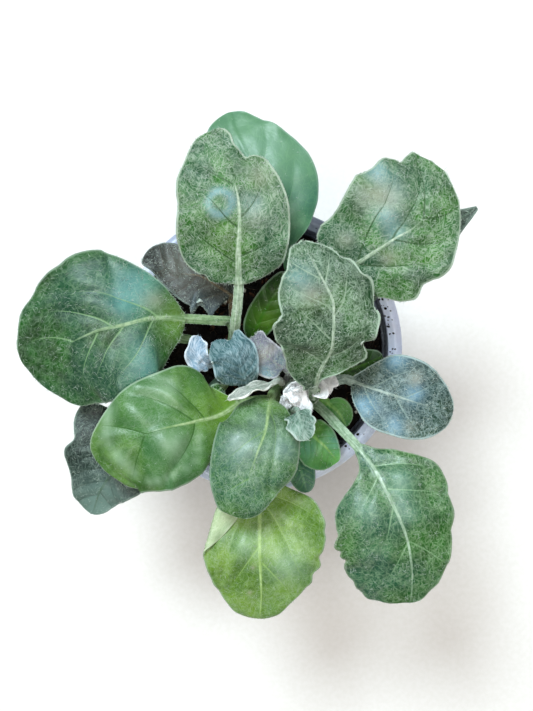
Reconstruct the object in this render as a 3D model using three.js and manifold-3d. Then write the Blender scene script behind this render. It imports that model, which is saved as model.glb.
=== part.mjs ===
// A young dusty miller in its nursery pot: two leafy shoots, potting soil and a thin plastic pot.
// Millimetres, +Z up. The origin is the centre of the pot's base, which rests on the ground.
import * as THREE from 'three';
import { mergeVertices } from 'three/addons/utils/BufferGeometryUtils.js';
import Module from 'manifold-3d';

const wasm = await Module();
wasm.setup();

const V = (x, y, z) => new THREE.Vector3(x, y, z);
const UP = V(0, 0, 1);
const rad = THREE.MathUtils.degToRad;

// ---------------------------------------------------------------- driving sizes

const pot = {
  height: 92,
  rimRadius: 52.5, // outermost edge of the rim
  ridgeRadius: 50.1, // highest line of the rim, rounded off to both sides
  lipRadius: 47.2, // inner edge of the rim's gently sloped top
  skirtDepth: 13, // how far the rim's collar hangs down outside
  baseRadius: 36,
  wall: 1.1,
  floor: 1.6,
  drainHoles: 8,
  drainRadius: 3.2,
  drainCircle: 25,
  facets: 48,
};

const soil = {
  level: 80.5,
  lump: 1.4, // how far lumps and hollows stray from the level
  gap: 0.3, // to the pot's wall and to the stems
  rings: 6,
  facets: 28,
};

const shoots = {
  right: { x: 12.5, y: -15.5, radius: 4.3, foot: 60, top: 114 },
  left: { x: -9.8, y: -8.5, radius: 4.0, foot: 60, top: 108 },
};

const seat = 0.3; // running gap between a leaf stalk's foot and its stem
const bladeThickness = 0.8;
const stemFacets = 14;

// ---------------------------------------------------------------- solids and materials

function solidOf(geometry) {
  const plain = new THREE.BufferGeometry();
  plain.setAttribute('position', geometry.getAttribute('position').clone());
  if (geometry.index) plain.setIndex(geometry.index.clone());
  const merged = mergeVertices(plain, 1e-3);
  return new wasm.Manifold(new wasm.Mesh({
    numProp: 3,
    vertProperties: new Float32Array(merged.attributes.position.array),
    triVerts: new Uint32Array(merged.index.array),
  }));
}

function geometryOf(solid) {
  const mesh = solid.getMesh();
  const geometry = new THREE.BufferGeometry();
  geometry.setAttribute('position', new THREE.BufferAttribute(mesh.vertProperties, 3));
  geometry.setIndex(new THREE.BufferAttribute(mesh.triVerts, 1));
  geometry.computeVertexNormals();
  return geometry;
}

function piece(name, geometry, color, roughness) {
  const material = new THREE.MeshStandardMaterial({ color, roughness, metalness: 0 });
  const mesh = new THREE.Mesh(geometry, material);
  mesh.name = name;
  return mesh;
}

// ---------------------------------------------------------------- pot and soil

// Inner radius of the pot's tapered wall at height z.
function wallRadius(z) {
  const share = z / (pot.height - pot.skirtDepth);
  return THREE.MathUtils.lerp(pot.baseRadius, pot.lipRadius + 0.2, share) - pot.wall;
}

function potBody() {
  const { height, rimRadius, ridgeRadius, lipRadius, skirtDepth, baseRadius, wall, floor } = pot;
  const skirt = height - skirtDepth;
  const profile = [
    [0, 0],
    [baseRadius - 2, 0],
    [baseRadius, 1.4],
    [lipRadius + 0.2, skirt],
    [rimRadius - 1.6, skirt + 0.6], // step out under the collar
    [rimRadius, height - 1.8],
    [rimRadius - 0.5, height - 0.7],
    [ridgeRadius, height],
    [lipRadius + 0.5, height - 0.7],
    [lipRadius, height - 1.2],
    [lipRadius - 0.2, skirt + 1.6],
    [wallRadius(skirt), skirt - 1.5],
    [wallRadius(0) + 0.4, floor + 1],
    [wallRadius(0) - 0.8, floor],
    [0, floor],
  ];
  const points = profile.map(([r, z]) => new THREE.Vector2(r, z));
  const body = new THREE.LatheGeometry(points, pot.facets).rotateX(Math.PI / 2);
  let shell = solidOf(body);
  for (let i = 0; i < pot.drainHoles; i++) {
    const turn = ((i + 0.5) / pot.drainHoles) * 2 * Math.PI;
    const drill = new THREE.CylinderGeometry(pot.drainRadius, pot.drainRadius, 3 * floor, 10)
      .rotateX(Math.PI / 2)
      .translate(pot.drainCircle * Math.cos(turn), pot.drainCircle * Math.sin(turn), floor / 2);
    shell = shell.subtract(solidOf(drill));
  }
  return geometryOf(shell);
}

// Lumps of the soil's top: a few crossed waves, even at the centre.
function soilTop(x, y) {
  const lumps = Math.sin(x * 0.21 + 1.3) * Math.cos(y * 0.17 - 0.4)
    + 0.6 * Math.sin(x * 0.43 - y * 0.31 + 2.1)
    + 0.4 * Math.cos(x * 0.29 + y * 0.52);
  return soil.level + (soil.lump * lumps) / 2;
}

function soilBody() {
  const { rings, facets } = soil;
  const low = pot.floor + soil.gap;
  const bottom = wallRadius(0) - 1.2;
  const vertices = [];
  for (let ring = 1; ring <= rings; ring++) {
    for (let i = 0; i < facets; i++) {
      const turn = (i / facets) * 2 * Math.PI;
      const radius = (ring / rings) * (wallRadius(soil.level) - soil.gap - 0.4);
      const x = radius * Math.cos(turn);
      const y = radius * Math.sin(turn);
      vertices.push([x, y, soilTop(x, y)]);
    }
  }
  for (let i = 0; i < facets; i++) {
    const turn = (i / facets) * 2 * Math.PI;
    vertices.push([bottom * Math.cos(turn), bottom * Math.sin(turn), low]);
  }
  const centre = vertices.push([0, 0, soilTop(0, 0)]) - 1;
  const under = vertices.push([0, 0, low]) - 1;
  const faces = [];
  for (let i = 0; i < facets; i++) {
    const next = (i + 1) % facets;
    faces.push([centre, i, next]);
    for (let ring = 0; ring < rings; ring++) {
      const a = ring * facets;
      const b = a + facets;
      faces.push([a + i, b + i, b + next], [a + i, b + next, a + next]);
    }
    faces.push([under, rings * facets + next, rings * facets + i]);
  }
  let body = solidOf(indexed(vertices.flat(), faces.flat()));
  for (const stem of Object.values(shoots)) {
    const radius = stem.radius + soil.gap + 0.05;
    const hole = new THREE.CylinderGeometry(radius, radius, 60, stemFacets)
      .rotateX(Math.PI / 2)
      .translate(stem.x, stem.y, stem.foot - soil.gap + 30);
    body = body.subtract(solidOf(hole));
  }
  return geometryOf(body);
}

function indexed(positions, indices) {
  const geometry = new THREE.BufferGeometry();
  geometry.setAttribute('position', new THREE.Float32BufferAttribute(positions, 3));
  geometry.setIndex(indices);
  return geometry;
}

// ---------------------------------------------------------------- leaves

// A leaf is one lofted body from the foot of its stalk to its tip.
//   spine     points along the stalk and the midrib; the blade starts at point number `blade`
//   left, right  half-widths of the blade at evenly turned stations, which crowd together at both ends
//   stalk     half-width of the stalk at its foot and at the blade
//   cup       rise of the margins over the midrib at the widest place (a negative one droops)
//   fold      slope of both halves, like an open book
//   wave      height and number of the waves along the margins
//   roll      turn about the midrib in degrees, at the blade's start and at its tip
//   steady    how far the rows across a blade keep one direction where the midrib curves, 0 to 1
//   nicks     notches in the margin, or lobes where the depth is negative: place along the blade
//             (0 to 1), mm across it (to the left above 0), radius and depth
//   curl      a margin that folds back over the blade: its side (1 left, -1 right), the distance
//             from the midrib where the fold starts at both ends of the blade, and its radius
const plainLeaf = {
  stalk: [1.8, 1.6],
  cup: 0,
  fold: 0,
  wave: [0, 2],
  roll: [0, 0],
  steady: 0,
  nicks: [],
  curl: null,
  bladeRows: 10,
  stalkRows: 4,
  columns: [1, 0.62, 0.2, 0, -0.2, -0.62, -1],
};

const youngLeaf = {
  stalk: [1.2, 1.1],
  bladeRows: 8,
  stalkRows: 3,
  columns: [1, 0.5, 0, -0.5, -1],
};

// Smooth curve through evenly spaced values, read at share 0 to 1.
function smooth(values, share) {
  const last = values.length - 1;
  const at = Math.min(share * last, last - 1e-9);
  const i = Math.floor(at);
  const f = at - i;
  const [p0, p1, p2, p3] = [-1, 0, 1, 2].map((k) => values[THREE.MathUtils.clamp(i + k, 0, last)]);
  const slope1 = (p2 - p0) / 2;
  const slope2 = (p3 - p1) / 2;
  return p1 + f * (slope1 + f * (3 * (p2 - p1) - 2 * slope1 - slope2
    + f * (2 * (p1 - p2) + slope1 + slope2)));
}

// Spine point number `index` as a share of the spine's length.
function shareOfPoint(curve, index) {
  const lengths = curve.getLengths(200);
  return lengths[Math.round((200 * index) / (curve.points.length - 1))] / lengths[200];
}

// Rows across a leaf: `along` is the share of the spine, `turn` runs from -1 at the foot over 0 at
// the blade's start to 1 at the tip, and `t` is the share of the blade's length.
function leafRows(leaf, start) {
  const rows = [];
  for (let i = 0; i < leaf.stalkRows; i++) {
    rows.push({ along: (start * i) / leaf.stalkRows, turn: i / leaf.stalkRows - 1, t: 0 });
  }
  for (let i = 0; i <= leaf.bladeRows; i++) {
    const turn = i / leaf.bladeRows;
    const t = (1 - Math.cos(turn * Math.PI)) / 2;
    rows.push({ along: start + (1 - start) * t, turn, t });
  }
  return rows;
}

// The margin's fold: where a point at distance d from the midrib goes, sideways and up.
function foldOver({ from, radius }, d, t) {
  const over = d - THREE.MathUtils.lerp(from[0], from[1], t);
  if (over <= 0) return [d, 0];
  const turn = Math.min(over / radius, Math.PI);
  return [d - over + radius * Math.sin(turn) - (over - turn * radius), radius * (1 - Math.cos(turn))];
}

// A point of a half blade of width w: its distance from the midrib and its height over it.
function bladePoint(leaf, side, reach, w, t) {
  const widest = Math.max(...leaf.left, ...leaf.right);
  const flat = reach * w;
  const [waveHeight, waves] = leaf.wave;
  const waved = waveHeight * reach ** 2 * Math.sin(2 * Math.PI * (waves * t + 0.31 * side));
  const height = leaf.cup * (flat / widest) ** 2 + leaf.fold * flat + waved * Math.sin(Math.PI * t) ** 0.5;
  if (leaf.curl?.side !== side) return [flat, height];
  const [out, over] = foldOver(leaf.curl, flat, t);
  return [out, height + over];
}

// How far the nicks draw a point of the blade towards its middle, across and along it.
function nickPull(leaf, across, along, length) {
  const pull = new THREE.Vector2();
  for (const [place, nickAcross, radius, depth] of leaf.nicks) {
    const nick = new THREE.Vector2(nickAcross, place * length);
    const away = nick.distanceTo(new THREE.Vector2(across, along)) / radius;
    const inward = new THREE.Vector2(0, length / 2).sub(nick).normalize();
    pull.addScaledVector(inward, depth * Math.exp(-(away ** 2)));
  }
  return pull;
}

function leafGeometry(options) {
  const leaf = { ...plainLeaf, ...options };
  const curve = new THREE.CatmullRomCurve3(leaf.spine, false, 'catmullrom', 0.5);
  const start = shareOfPoint(curve, leaf.blade);
  const length = (1 - start) * curve.getLength();
  const chord = curve.getPointAt(1).sub(curve.getPointAt(start)).normalize();
  const [stalkFoot, stalkEnd] = leaf.stalk;
  const top = [];
  const bottom = [];
  for (const { along, turn, t } of leafRows(leaf, start)) {
    const centre = curve.getPointAt(along);
    const stalkShare = 1 + Math.min(turn, 0); // 0 at the foot, 1 from the blade's start on
    const ahead = curve.getTangentAt(along).lerp(chord, leaf.steady * stalkShare).normalize();
    const normal = UP.clone().addScaledVector(ahead, -ahead.z).normalize();
    const roll = stalkShare * THREE.MathUtils.lerp(leaf.roll[0], leaf.roll[1], t);
    normal.applyAxisAngle(ahead, rad(roll));
    const left = normal.clone().cross(ahead);
    const stalk = THREE.MathUtils.lerp(stalkFoot, stalkEnd, stalkShare);
    const ribDepth = stalk * 1.2 * (1 - 0.85 * t);
    for (const s of leaf.columns) {
      const side = s < 0 ? -1 : 1;
      const halves = [stalkEnd, ...(side > 0 ? leaf.left : leaf.right), 0.5];
      const [out, height] = turn < 0
        ? [Math.abs(s) * stalk, 0]
        : bladePoint(leaf, side, Math.abs(s), Math.max(smooth(halves, turn), 0.5), t);
      const pull = turn < 0 ? new THREE.Vector2() : nickPull(leaf, side * out, t * length, length);
      const point = centre.clone()
        .addScaledVector(left, side * out + pull.x)
        .addScaledVector(ahead, pull.y)
        .addScaledVector(normal, height);
      const rib = ribDepth * Math.sqrt(Math.max(0, 1 - (out / stalk) ** 2));
      top.push(point);
      bottom.push(point.clone().addScaledVector(normal, -bladeThickness - rib));
    }
  }
  return skin(top, bottom, leaf.columns.length);
}

// Closes two matching grids of points, an upper and a lower one, into one body.
function skin(top, bottom, columns) {
  const rows = top.length / columns;
  const half = top.length;
  const at = (row, column) => row * columns + column;
  const faces = [];
  const quad = (a, b, c, d) => faces.push(a, b, c, a, c, d);
  for (let row = 0; row < rows - 1; row++) {
    for (let column = 0; column < columns - 1; column++) {
      const a = at(row, column);
      const b = at(row, column + 1);
      const c = at(row + 1, column + 1);
      const d = at(row + 1, column);
      quad(a, b, c, d);
      faces.push(half + a, half + c, half + b, half + a, half + d, half + c);
    }
    quad(at(row, 0), at(row + 1, 0), half + at(row + 1, 0), half + at(row, 0));
    const e = columns - 1;
    quad(at(row + 1, e), at(row, e), half + at(row, e), half + at(row + 1, e));
  }
  for (let column = 0; column < columns - 1; column++) {
    const e = rows - 1;
    quad(at(0, column + 1), at(0, column), half + at(0, column), half + at(0, column + 1));
    quad(at(e, column), at(e, column + 1), half + at(e, column + 1), half + at(e, column));
  }
  return indexed([...top, ...bottom].flatMap((p) => [p.x, p.y, p.z]), faces);
}

// Foot of a leaf stalk on its shoot, at a turn about the stem in degrees and a height, and a second
// point a little further out and up.
function foot(shoot, turn, height, outward = 2.6) {
  const { x, y, radius } = shoots[shoot];
  return [0, outward].map((reach) => {
    const r = radius + seat + reach;
    return V(x + r * Math.cos(rad(turn)), y + r * Math.sin(rad(turn)), height + 1.1 * reach);
  });
}

const path = (...points) => points.map(([x, y, z]) => V(x, y, z));

const tone = {
  felt: 0x8c9c86,
  green: 0x54803f,
  blue: 0x5f9077,
  bright: 0x6f9f3c,
  yellow: 0x9aa93f,
  silver: 0xb3c4bb,
  dusky: 0x8a8778,
  mauve: 0x9b97a3,
};

const leaves = {
  leaf_north_felted: {
    color: tone.felt,
    spine: [...foot('left', 75, 101, 1), ...path([-8.5, 6, 119.5], [-7.5, 14.5, 125], [-7, 21, 128],
      [-7, 31, 133], [-6.5, 41, 137], [-7, 49, 138], [-9, 56, 138], [-14.5, 72, 134])],
    blade: 4,
    left: [9, 12.5, 17.5, 20, 20.5, 20, 19.5, 17.5, 13.5, 10, 6.5],
    right: [4.5, 10, 14.5, 16, 16.5, 16, 13.5, 9.5, 4.5, 4, 2.5],
    cup: 1,
    wave: [1, 2.5],
    nicks: [[0.79, -6.5, 2, 2.5], [0.7, -11, 3, -1], [0.05, 11.5, 1.5, 1]],
    bladeRows: 22,
  },
  leaf_north_smooth: {
    color: tone.blue,
    spine: [...foot('right', 100, 91), ...path([10.5, 8, 100], [11.5, 22, 104.5], [10, 29, 110.5],
      [9, 33, 115],
      [4.5, 43.5, 120], [0, 55, 123], [-5.5, 67.5, 122], [-9, 75, 120], [-10.5, 81, 118])],
    blade: 5,
    left: [3, 9, 13.5, 14.5, 13.5, 11, 5.5],
    right: [5, 13.5, 18.5, 20, 16.5, 11, 7],
    cup: -2,
  },
  leaf_west_large: {
    color: tone.green,
    spine: [...foot('left', 112, 96, 1), ...path([-9.5, 4.5, 106], [-10.5, 9, 109.5],
      [-15, 9.5, 113], [-25.5, 10, 118],
      [-36, 10, 124], [-46, 7.5, 127], [-56, 5, 128], [-67.5, -1, 124], [-77, -11, 118])],
    blade: 5,
    left: [8, 18.5, 21.5, 24, 23.5, 22.5, 15.5],
    right: [4, 12, 24, 27.5, 23.5, 15.5, 9.5],
    cup: -4,
    nicks: [[0.57, -25, 3, 1], [0.74, -21.5, 2.5, 0.8], [0.88, 20, 1.6, 0.8],
      [0.93, 17, 1.6, -0.6]],
    bladeRows: 22,
  },
  leaf_southwest_puckered: {
    color: tone.bright,
    spine: [...foot('right', 210, 97), ...path([0.5, -18.5, 107], [-7, -19.5, 115.5],
      [-13.5, -23, 120.5], [-22, -25, 126.5], [-36, -28, 131], [-49.5, -34, 128], [-55, -38.5, 125])],
    blade: 3,
    left: [2, 5.5, 17, 21, 20.5, 18, 17],
    right: [4, 13.5, 19.5, 18.5, 16, 10.5, 5],
    cup: -5,
  },
  leaf_south_upper: {
    color: tone.green,
    spine: [...foot('right', 166, 101, 1), ...path([5, -15.5, 113.5], [4, -17, 121],
      [3, -21, 127.5], [2, -27.5, 131.5], [-1, -35.5, 134], [-4, -45, 134], [-5.5, -57, 130.5])],
    blade: 3,
    left: [3, 7.5, 12, 14.5, 12.5, 9, 5],
    right: [4, 10.5, 15, 15, 13.5, 11, 8],
    cup: -4.5,
  },
  leaf_south_yellow: {
    color: tone.yellow,
    spine: [...foot('right', 240, 92), ...path([5, -33, 105], [0.5, -45.5, 112],
      [0, -57.5, 116], [0, -71.5, 118], [0.5, -85, 114], [0, -95.5, 109])],
    blade: 3,
    left: [10, 18.5, 23, 22, 18.5, 11, 6],
    right: [9, 21.5, 24.5, 20, 17, 13, 8],
    cup: -3,
    curl: { side: -1, from: [10, 26], radius: 1.2 },
    columns: [1, 0.62, 0.2, 0, -0.25, -0.55, -0.7, -0.8, -1],
    nicks: [[0.35, 22.5, 1.6, 0.7], [0.55, 21.5, 2, 0.8], [0.62, 20, 2, -0.8],
      [0.68, 18.5, 1.6, 0.8], [0.74, 17.5, 2, -0.6]],
    bladeRows: 22,
  },
  leaf_southeast_large: {
    color: tone.green,
    spine: [...foot('right', -36, 96), ...path([21.5, -21.5, 105.5], [27, -27, 115],
      [33.5, -34, 120], [38.5, -40.5, 123],
      [42.5, -48, 126], [46.5, -56.5, 127], [50, -65.5, 125], [52, -77, 121], [52.5, -88.5, 115])],
    blade: 4,
    left: [2.5, 4.5, 11, 18.5, 20, 18, 15.5, 13, 9.5, 6, 3],
    right: [2, 3, 6.5, 17.5, 21, 23.5, 22.5, 22.5, 20.5, 17.5, 13.5],
    cup: -3,
    wave: [1, 4],
    nicks: [[0.4, -22.5, 2, 0.9], [0.47, -24, 2, -0.8], [0.54, -23, 1.8, 1], [0.6, -22.5, 2, -0.6],
      [0.66, -22, 1.6, 0.9], [0.85, -20, 2, 0.6], [0.44, 19.5, 1.6, 0.8], [0.54, 18.5, 2.5, -0.9],
      [0.61, 16.5, 1.6, 0.7]],
    bladeRows: 22,
  },
  leaf_east_silver: {
    color: tone.silver,
    spine: [...foot('right', 15, 99), ...path([23, -12.5, 110], [28.5, -11, 117], [31.5, -11.5, 121],
      [40, -14.5, 125], [46.5, -16.5, 126], [54, -19, 125], [66, -22, 121])],
    blade: 4,
    left: [3.5, 8, 13, 14, 12.5, 8.5, 4],
    right: [4, 8.5, 12.5, 13, 12, 9.5, 5.5],
    cup: 1.5,
  },
  leaf_northeast_large: {
    color: tone.felt,
    spine: [...foot('right', 78, 97), ...path([20, 6, 114], [25, 17, 121], [29, 25.5, 126],
      [32.5, 28, 129],
      [39.5, 32.5, 133], [45, 36, 135], [51, 39.5, 135], [58, 47.5, 133], [61.5, 59.5, 128])],
    blade: 4,
    left: [13, 17, 18, 19, 22, 25.2, 24, 23, 18, 13.5, 10.5],
    right: [13.5, 14, 19, 20, 18.5, 18.5, 14.5, 11, 8.5, 5, 2],
    cup: -2,
    wave: [1.2, 2.6],
    steady: 0.7,
    nicks: [[0.88, 16, 2, 1.8], [0.79, 21.5, 2.2, -0.5], [0.95, 12, 2.5, -0.8],
      [0.17, 18.5, 2.5, 0.6], [0.46, 25.5, 3, -0.4], [0.32, -19, 2, 1], [0.24, -20.5, 2.2, -0.8]],
    bladeRows: 22,
  },
  leaf_northeast_pointed: {
    color: tone.felt,
    spine: [...foot('right', 58, 86), ...path([26, 2, 99], [38, 16, 105], [47, 26, 109],
      [54, 32, 111], [62, 38.5, 112], [69, 44.5, 112], [76, 49, 112])],
    blade: 4,
    left: [2.5, 4.5, 6, 6.5, 5, 2.5, 1],
    right: [2.5, 4.5, 6, 6.5, 4.5, 2.8, 1.2],
    fold: 0.15,
  },
  leaf_centre_felted: {
    color: tone.felt,
    spine: [...foot('right', -10, 106, 0.8), ...path([18.5, -18, 117], [18.5, -14.5, 129],
      [19.5, -8.5, 137.5],
      [23, -1, 144], [23.5, 4.5, 148], [23.5, 10.5, 150], [23, 15, 151], [19.5, 22, 151],
      [16, 28.5, 150], [14, 33.5, 148])],
    blade: 3,
    stalk: [1.6, 1.9],
    left: [4, 4.5, 9.5, 13, 16.5, 19, 17, 15.2, 10.8, 6.3, 4.5],
    right: [1, 1, 2, 8, 12, 13.8, 13.5, 12, 9, 6.5, 2.5],
    cup: 2,
    wave: [1.8, 3.4],
    steady: 0.4,
    nicks: [[0.39, -12.2, 1.6, 3.5], [0.34, -12, 1.8, -1], [0.61, -14.2, 1.8, 1.2], [0.68, -13.8, 1.8, -1.2],
      [0.745, -13, 1.6, 1.1], [0.81, -11.3, 1.8, -0.8], [0.86, -9.8, 1.5, 1],
      [0.54, -14.5, 2, -0.8], [0.6, 17.5, 2, 1.2], [0.54, 19.5, 2, -0.5], [0.89, 8.5, 2, 1],
      [0.22, 13.5, 1.8, 0.8]],
    bladeRows: 28,
  },
  leaf_northwest_dusky: {
    color: tone.dusky,
    spine: [...foot('left', 84, 89, 1), ...path([-9, 7, 100], [-9.5, 13, 105], [-10, 18, 108.5],
      [-15.5, 22, 111.5], [-21, 25, 113], [-29.5, 26.5, 112.5], [-41, 32.5, 108])],
    blade: 4,
    left: [7.5, 10.3, 9.8, 12.3, 11.5, 10, 6.5, 4.8, 3.5, 3, 2.5],
    right: [1.5, 3, 4.5, 6.5, 8.5, 9.5, 9.5, 9, 7.5, 5.5, 3],
    fold: 0.05,
    wave: [1, 3],
    nicks: [[0.2, 10, 1.5, 4], [0.27, 12.5, 2, -0.8], [0.07, 10, 1.6, -0.8]],
    bladeRows: 22,
  },
  leaf_southwest_lobed: {
    color: tone.felt,
    spine: [...foot('left', 215, 89), ...path([-28, -24, 100], [-39, -32.5, 105],
      [-46, -38, 108], [-51, -43, 109], [-56.5, -50.5, 107], [-60, -59.5, 103])],
    blade: 3,
    left: [2.5, 7.5, 9.5, 11, 12.5, 12, 10, 8.5, 6.5, 4, 2],
    right: [4.5, 14, 18, 24.5, 22.5, 18.5, 17, 11, 8.5, 5.5, 3],
    wave: [1.2, 3],
    nicks: [[0.47, -20, 2, 1.6], [0.36, -24, 2.2, -0.8], [0.28, -22.5, 1.6, 0.9],
      [0.58, -18, 2, -0.7]],
    bladeRows: 22,
  },
  leaf_inner_north: {
    color: tone.green,
    spine: [...foot('left', 15, 94, 1), ...path([-3, 2.5, 106], [0.5, 10.5, 111], [5.5, 19, 114],
      [10, 26, 114])],
    blade: 2,
    left: [2.5, 4.5, 5.5, 5.5, 5, 4, 2.5],
    right: [2.5, 4.5, 5.5, 6, 5.5, 4.5, 2.5],
    cup: -1,
  },
  leaf_inner_south: {
    color: tone.green,
    spine: [...foot('right', 285, 91, 1), ...path([15.5, -27.5, 97], [19, -31.5, 101.5],
      [23, -35, 103.5], [28, -41, 101])],
    blade: 2,
    left: [4, 5.5, 6.5, 6.5, 5, 3.5, 2],
    right: [4, 7, 9, 10, 10, 8.5, 5.5],
    cup: -2,
  },
  leaf_inner_south_low: {
    color: tone.green,
    spine: [...foot('right', 262, 84.5, 1), ...path([12, -29, 89], [13, -38, 93.5], [15, -45, 96.5],
      [17, -52.5, 97])],
    blade: 3,
    left: [2.5, 4, 5, 5, 4.5, 3.5, 2],
    right: [2.5, 4, 5, 5, 4.5, 3.5, 2],
    cup: -0.5,
  },
  leaf_inner_southeast: {
    color: tone.green,
    spine: [...foot('right', -24, 86, 1), ...path([21.5, -18.5, 95], [24.5, -20, 96.5],
      [28.5, -23.5, 98], [31.5, -28.5, 97])],
    blade: 3,
    left: [2.5, 4, 5, 5, 4.5, 3.5, 2],
    right: [2.5, 4, 5, 5, 4.5, 3.5, 2],
    cup: -0.5,
  },
  leaf_inner_east: {
    color: tone.green,
    spine: [...foot('right', 20, 91, 1), ...path([22, -10.5, 93], [26.5, -9, 95.5], [35, -7, 98],
      [44.5, -3, 97])],
    blade: 3,
    left: [2.5, 4, 5.5, 6, 5.5, 4, 2.5],
    right: [2.5, 4, 5.5, 6, 5.5, 4, 2.5],
    cup: -0.5,
  },
  leaf_west_hidden: {
    color: tone.green,
    spine: [...foot('left', 160, 89), ...path([-23.5, 2, 98], [-28.5, 3.5, 101.5], [-34, 5.5, 104.5],
      [-45, 8, 107], [-56, 8, 107], [-65, 5.5, 105])],
    blade: 4,
    left: [3, 6, 9, 11, 10, 7.5, 4],
    right: [3, 6, 9, 11, 10, 7.5, 4],
    cup: -1,
  },
  young_leaf_mauve: {
    ...youngLeaf,
    color: tone.mauve,
    spine: [...foot('right', 122, 107, 0.8), ...path([10, -9, 115], [8.5, -7, 118], [5, -5, 120],
      [1, -1, 120.5], [-2, 4, 118.5])],
    blade: 3,
    left: [3, 5, 6.5, 7, 6, 4.5, 3],
    right: [2.5, 4, 5, 5, 4.5, 4, 2.5],
    wave: [0.7, 2],
    nicks: [[0.86, -5, 1.4, 1.4], [0.97, -2.8, 2, -1.2]],
  },
  young_leaf_silver: {
    ...youngLeaf,
    color: tone.silver,
    spine: [...foot('left', -58, 104, 0.8), ...path([-5, -13.5, 113], [-4.5, -12.5, 119],
      [-5.5, -8.5, 125.5],
      [-7.5, -1.5, 128.5], [-11, 4, 126])],
    blade: 3,
    left: [7, 8.6, 9.5, 9.5, 9.4, 9.4, 8],
    right: [4, 4.6, 5.3, 6.2, 6.3, 5, 4],
    cup: -1.5,
    wave: [0.6, 2.4],
    nicks: [[1, -0.3, 1.7, 2], [0.97, 4.6, 2.4, -1.8], [0.93, -3.6, 1.8, -0.8]],
  },
  young_leaf_curled: {
    ...youngLeaf,
    color: tone.silver,
    spine: [...foot('left', 160, 98, 0.8), ...path([-16.5, -6, 107], [-18, -6, 113],
      [-20, -4.5, 117.5], [-21.5, -1, 119.5], [-20.5, 4, 119])],
    blade: 3,
    left: [2, 3, 4, 4.5, 4, 3, 2],
    right: [2, 3, 3.5, 4, 3.5, 3, 2],
    fold: 0.5,
    wave: [0.7, 2],
    nicks: [[0.75, 4, 1.3, 1.2], [0.5, -4, 1.3, 1], [0.2, 4, 1.2, 0.9], [0.95, -1.5, 1.2, 1]],
  },
  young_leaf_edge: {
    ...youngLeaf,
    color: tone.silver,
    spine: [...foot('right', 146, 109, 0.8), ...path([6.5, -11, 118.5], [3.5, -12, 125],
      [-1.5, -13.5, 128.5], [-6, -15.5, 130], [-10.5, -17.5, 129.5])],
    blade: 3,
    left: [1.5, 2.5, 3, 3, 3, 2, 1.5],
    right: [1.5, 2.5, 3, 3, 3, 2, 1.5],
    roll: [60, 62],
    fold: 0.2,
    wave: [0.5, 2],
  },
  young_leaf_lobed: {
    ...youngLeaf,
    color: tone.felt,
    spine: [...foot('right', 262, 105, 0.8), ...path([12, -22.5, 115], [12, -21.5, 124],
      [12.5, -21.5, 130], [13.5, -24, 134],
      [14.5, -27, 135.5], [16.5, -30, 135.5])],
    blade: 4,
    left: [3, 4.5, 4, 5, 4, 3.5, 2],
    right: [2.5, 5, 4, 5.5, 4, 3.5, 2],
    wave: [0.5, 2],
  },
  young_leaf_green: {
    ...youngLeaf,
    color: tone.green,
    spine: [...foot('left', 240, 99, 0.8), ...path([-13, -14, 106], [-13.5, -14, 109.5],
      [-15, -15.5, 111.5], [-17.5, -18, 111])],
    blade: 3,
    left: [1.5, 2, 2.5, 3, 2.5, 2, 1.5],
    right: [1.5, 2, 2.5, 3, 2.5, 2, 1.5],
    fold: 0.2,
  },
};

// Tips and half-widths of the tiny unopened leaves of the two crowns, rooted well inside their stem.
const tufts = {
  right: [
    { tip: [25.5, -12.5, 120.5], width: 3.2, via: [18.5, -10, 116] },
    { tip: [16.5, -23, 123], width: 1.9 },
    { tip: [7.5, -20, 122], width: 2.4 },
    { tip: [8.5, -15.5, 122.5], width: 2.4 },
    { tip: [13.5, -11.5, 125], width: 2.6 },
    { tip: [15, -20.5, 124], width: 3.2, via: [12, -14.5, 125] },
  ],
  left: [
    { tip: [-13.5, -5, 117], width: 3 },
    { tip: [-14.5, -10.5, 115], width: 3 },
  ],
};

function tuftLeaf(stem, { tip, width, via }) {
  const root = V(stem.x, stem.y, stem.top - 6);
  const end = V(...tip);
  const middle = via ? V(...via) : root.clone().lerp(end, 0.5).add(V(0, 0, 3.4));
  const halves = [0.55, 0.8, 0.95, 1, 0.9, 0.7, 0.4].map((share) => share * width);
  return leafGeometry({
    ...youngLeaf,
    spine: [root, root.clone().lerp(middle, 0.55).add(V(0, 0, 1.2)), middle, end],
    blade: 1,
    left: halves,
    right: halves,
    fold: 0.2,
    wave: [0.7, 2],
    bladeRows: 6,
    stalkRows: 2,
  });
}

function shootBody(name) {
  const { x, y, radius, foot: low, top } = shoots[name];
  const profile = [
    [0, low],
    [radius - 1, low],
    [radius, low + 1],
    [radius, top - 6],
    [radius - 0.7, top - 2],
    [radius - 2.2, top],
    [0, top + 0.8],
  ].map(([r, z]) => new THREE.Vector2(r, z));
  let body = solidOf(new THREE.LatheGeometry(profile, stemFacets).rotateX(Math.PI / 2).translate(x, y, 0));
  for (const leaf of tufts[name]) body = body.add(solidOf(tuftLeaf(shoots[name], leaf)));
  return geometryOf(body);
}

// ---------------------------------------------------------------- the plant in its pot

const group = new THREE.Group();
group.add(piece('pot', potBody(), 0xb9c0dc, 0.3));
group.add(piece('soil', soilBody(), 0x2e2119, 0.95));
group.add(piece('shoot_right', shootBody('right'), 0xdfe3dc, 0.95));
group.add(piece('shoot_left', shootBody('left'), 0xc3ccc2, 0.95));
for (const [name, leaf] of Object.entries(leaves)) {
  group.add(piece(name, leafGeometry(leaf), leaf.color, 0.7));
}

export default group;
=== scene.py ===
import math
import time
from functools import partial
from types import SimpleNamespace

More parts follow.
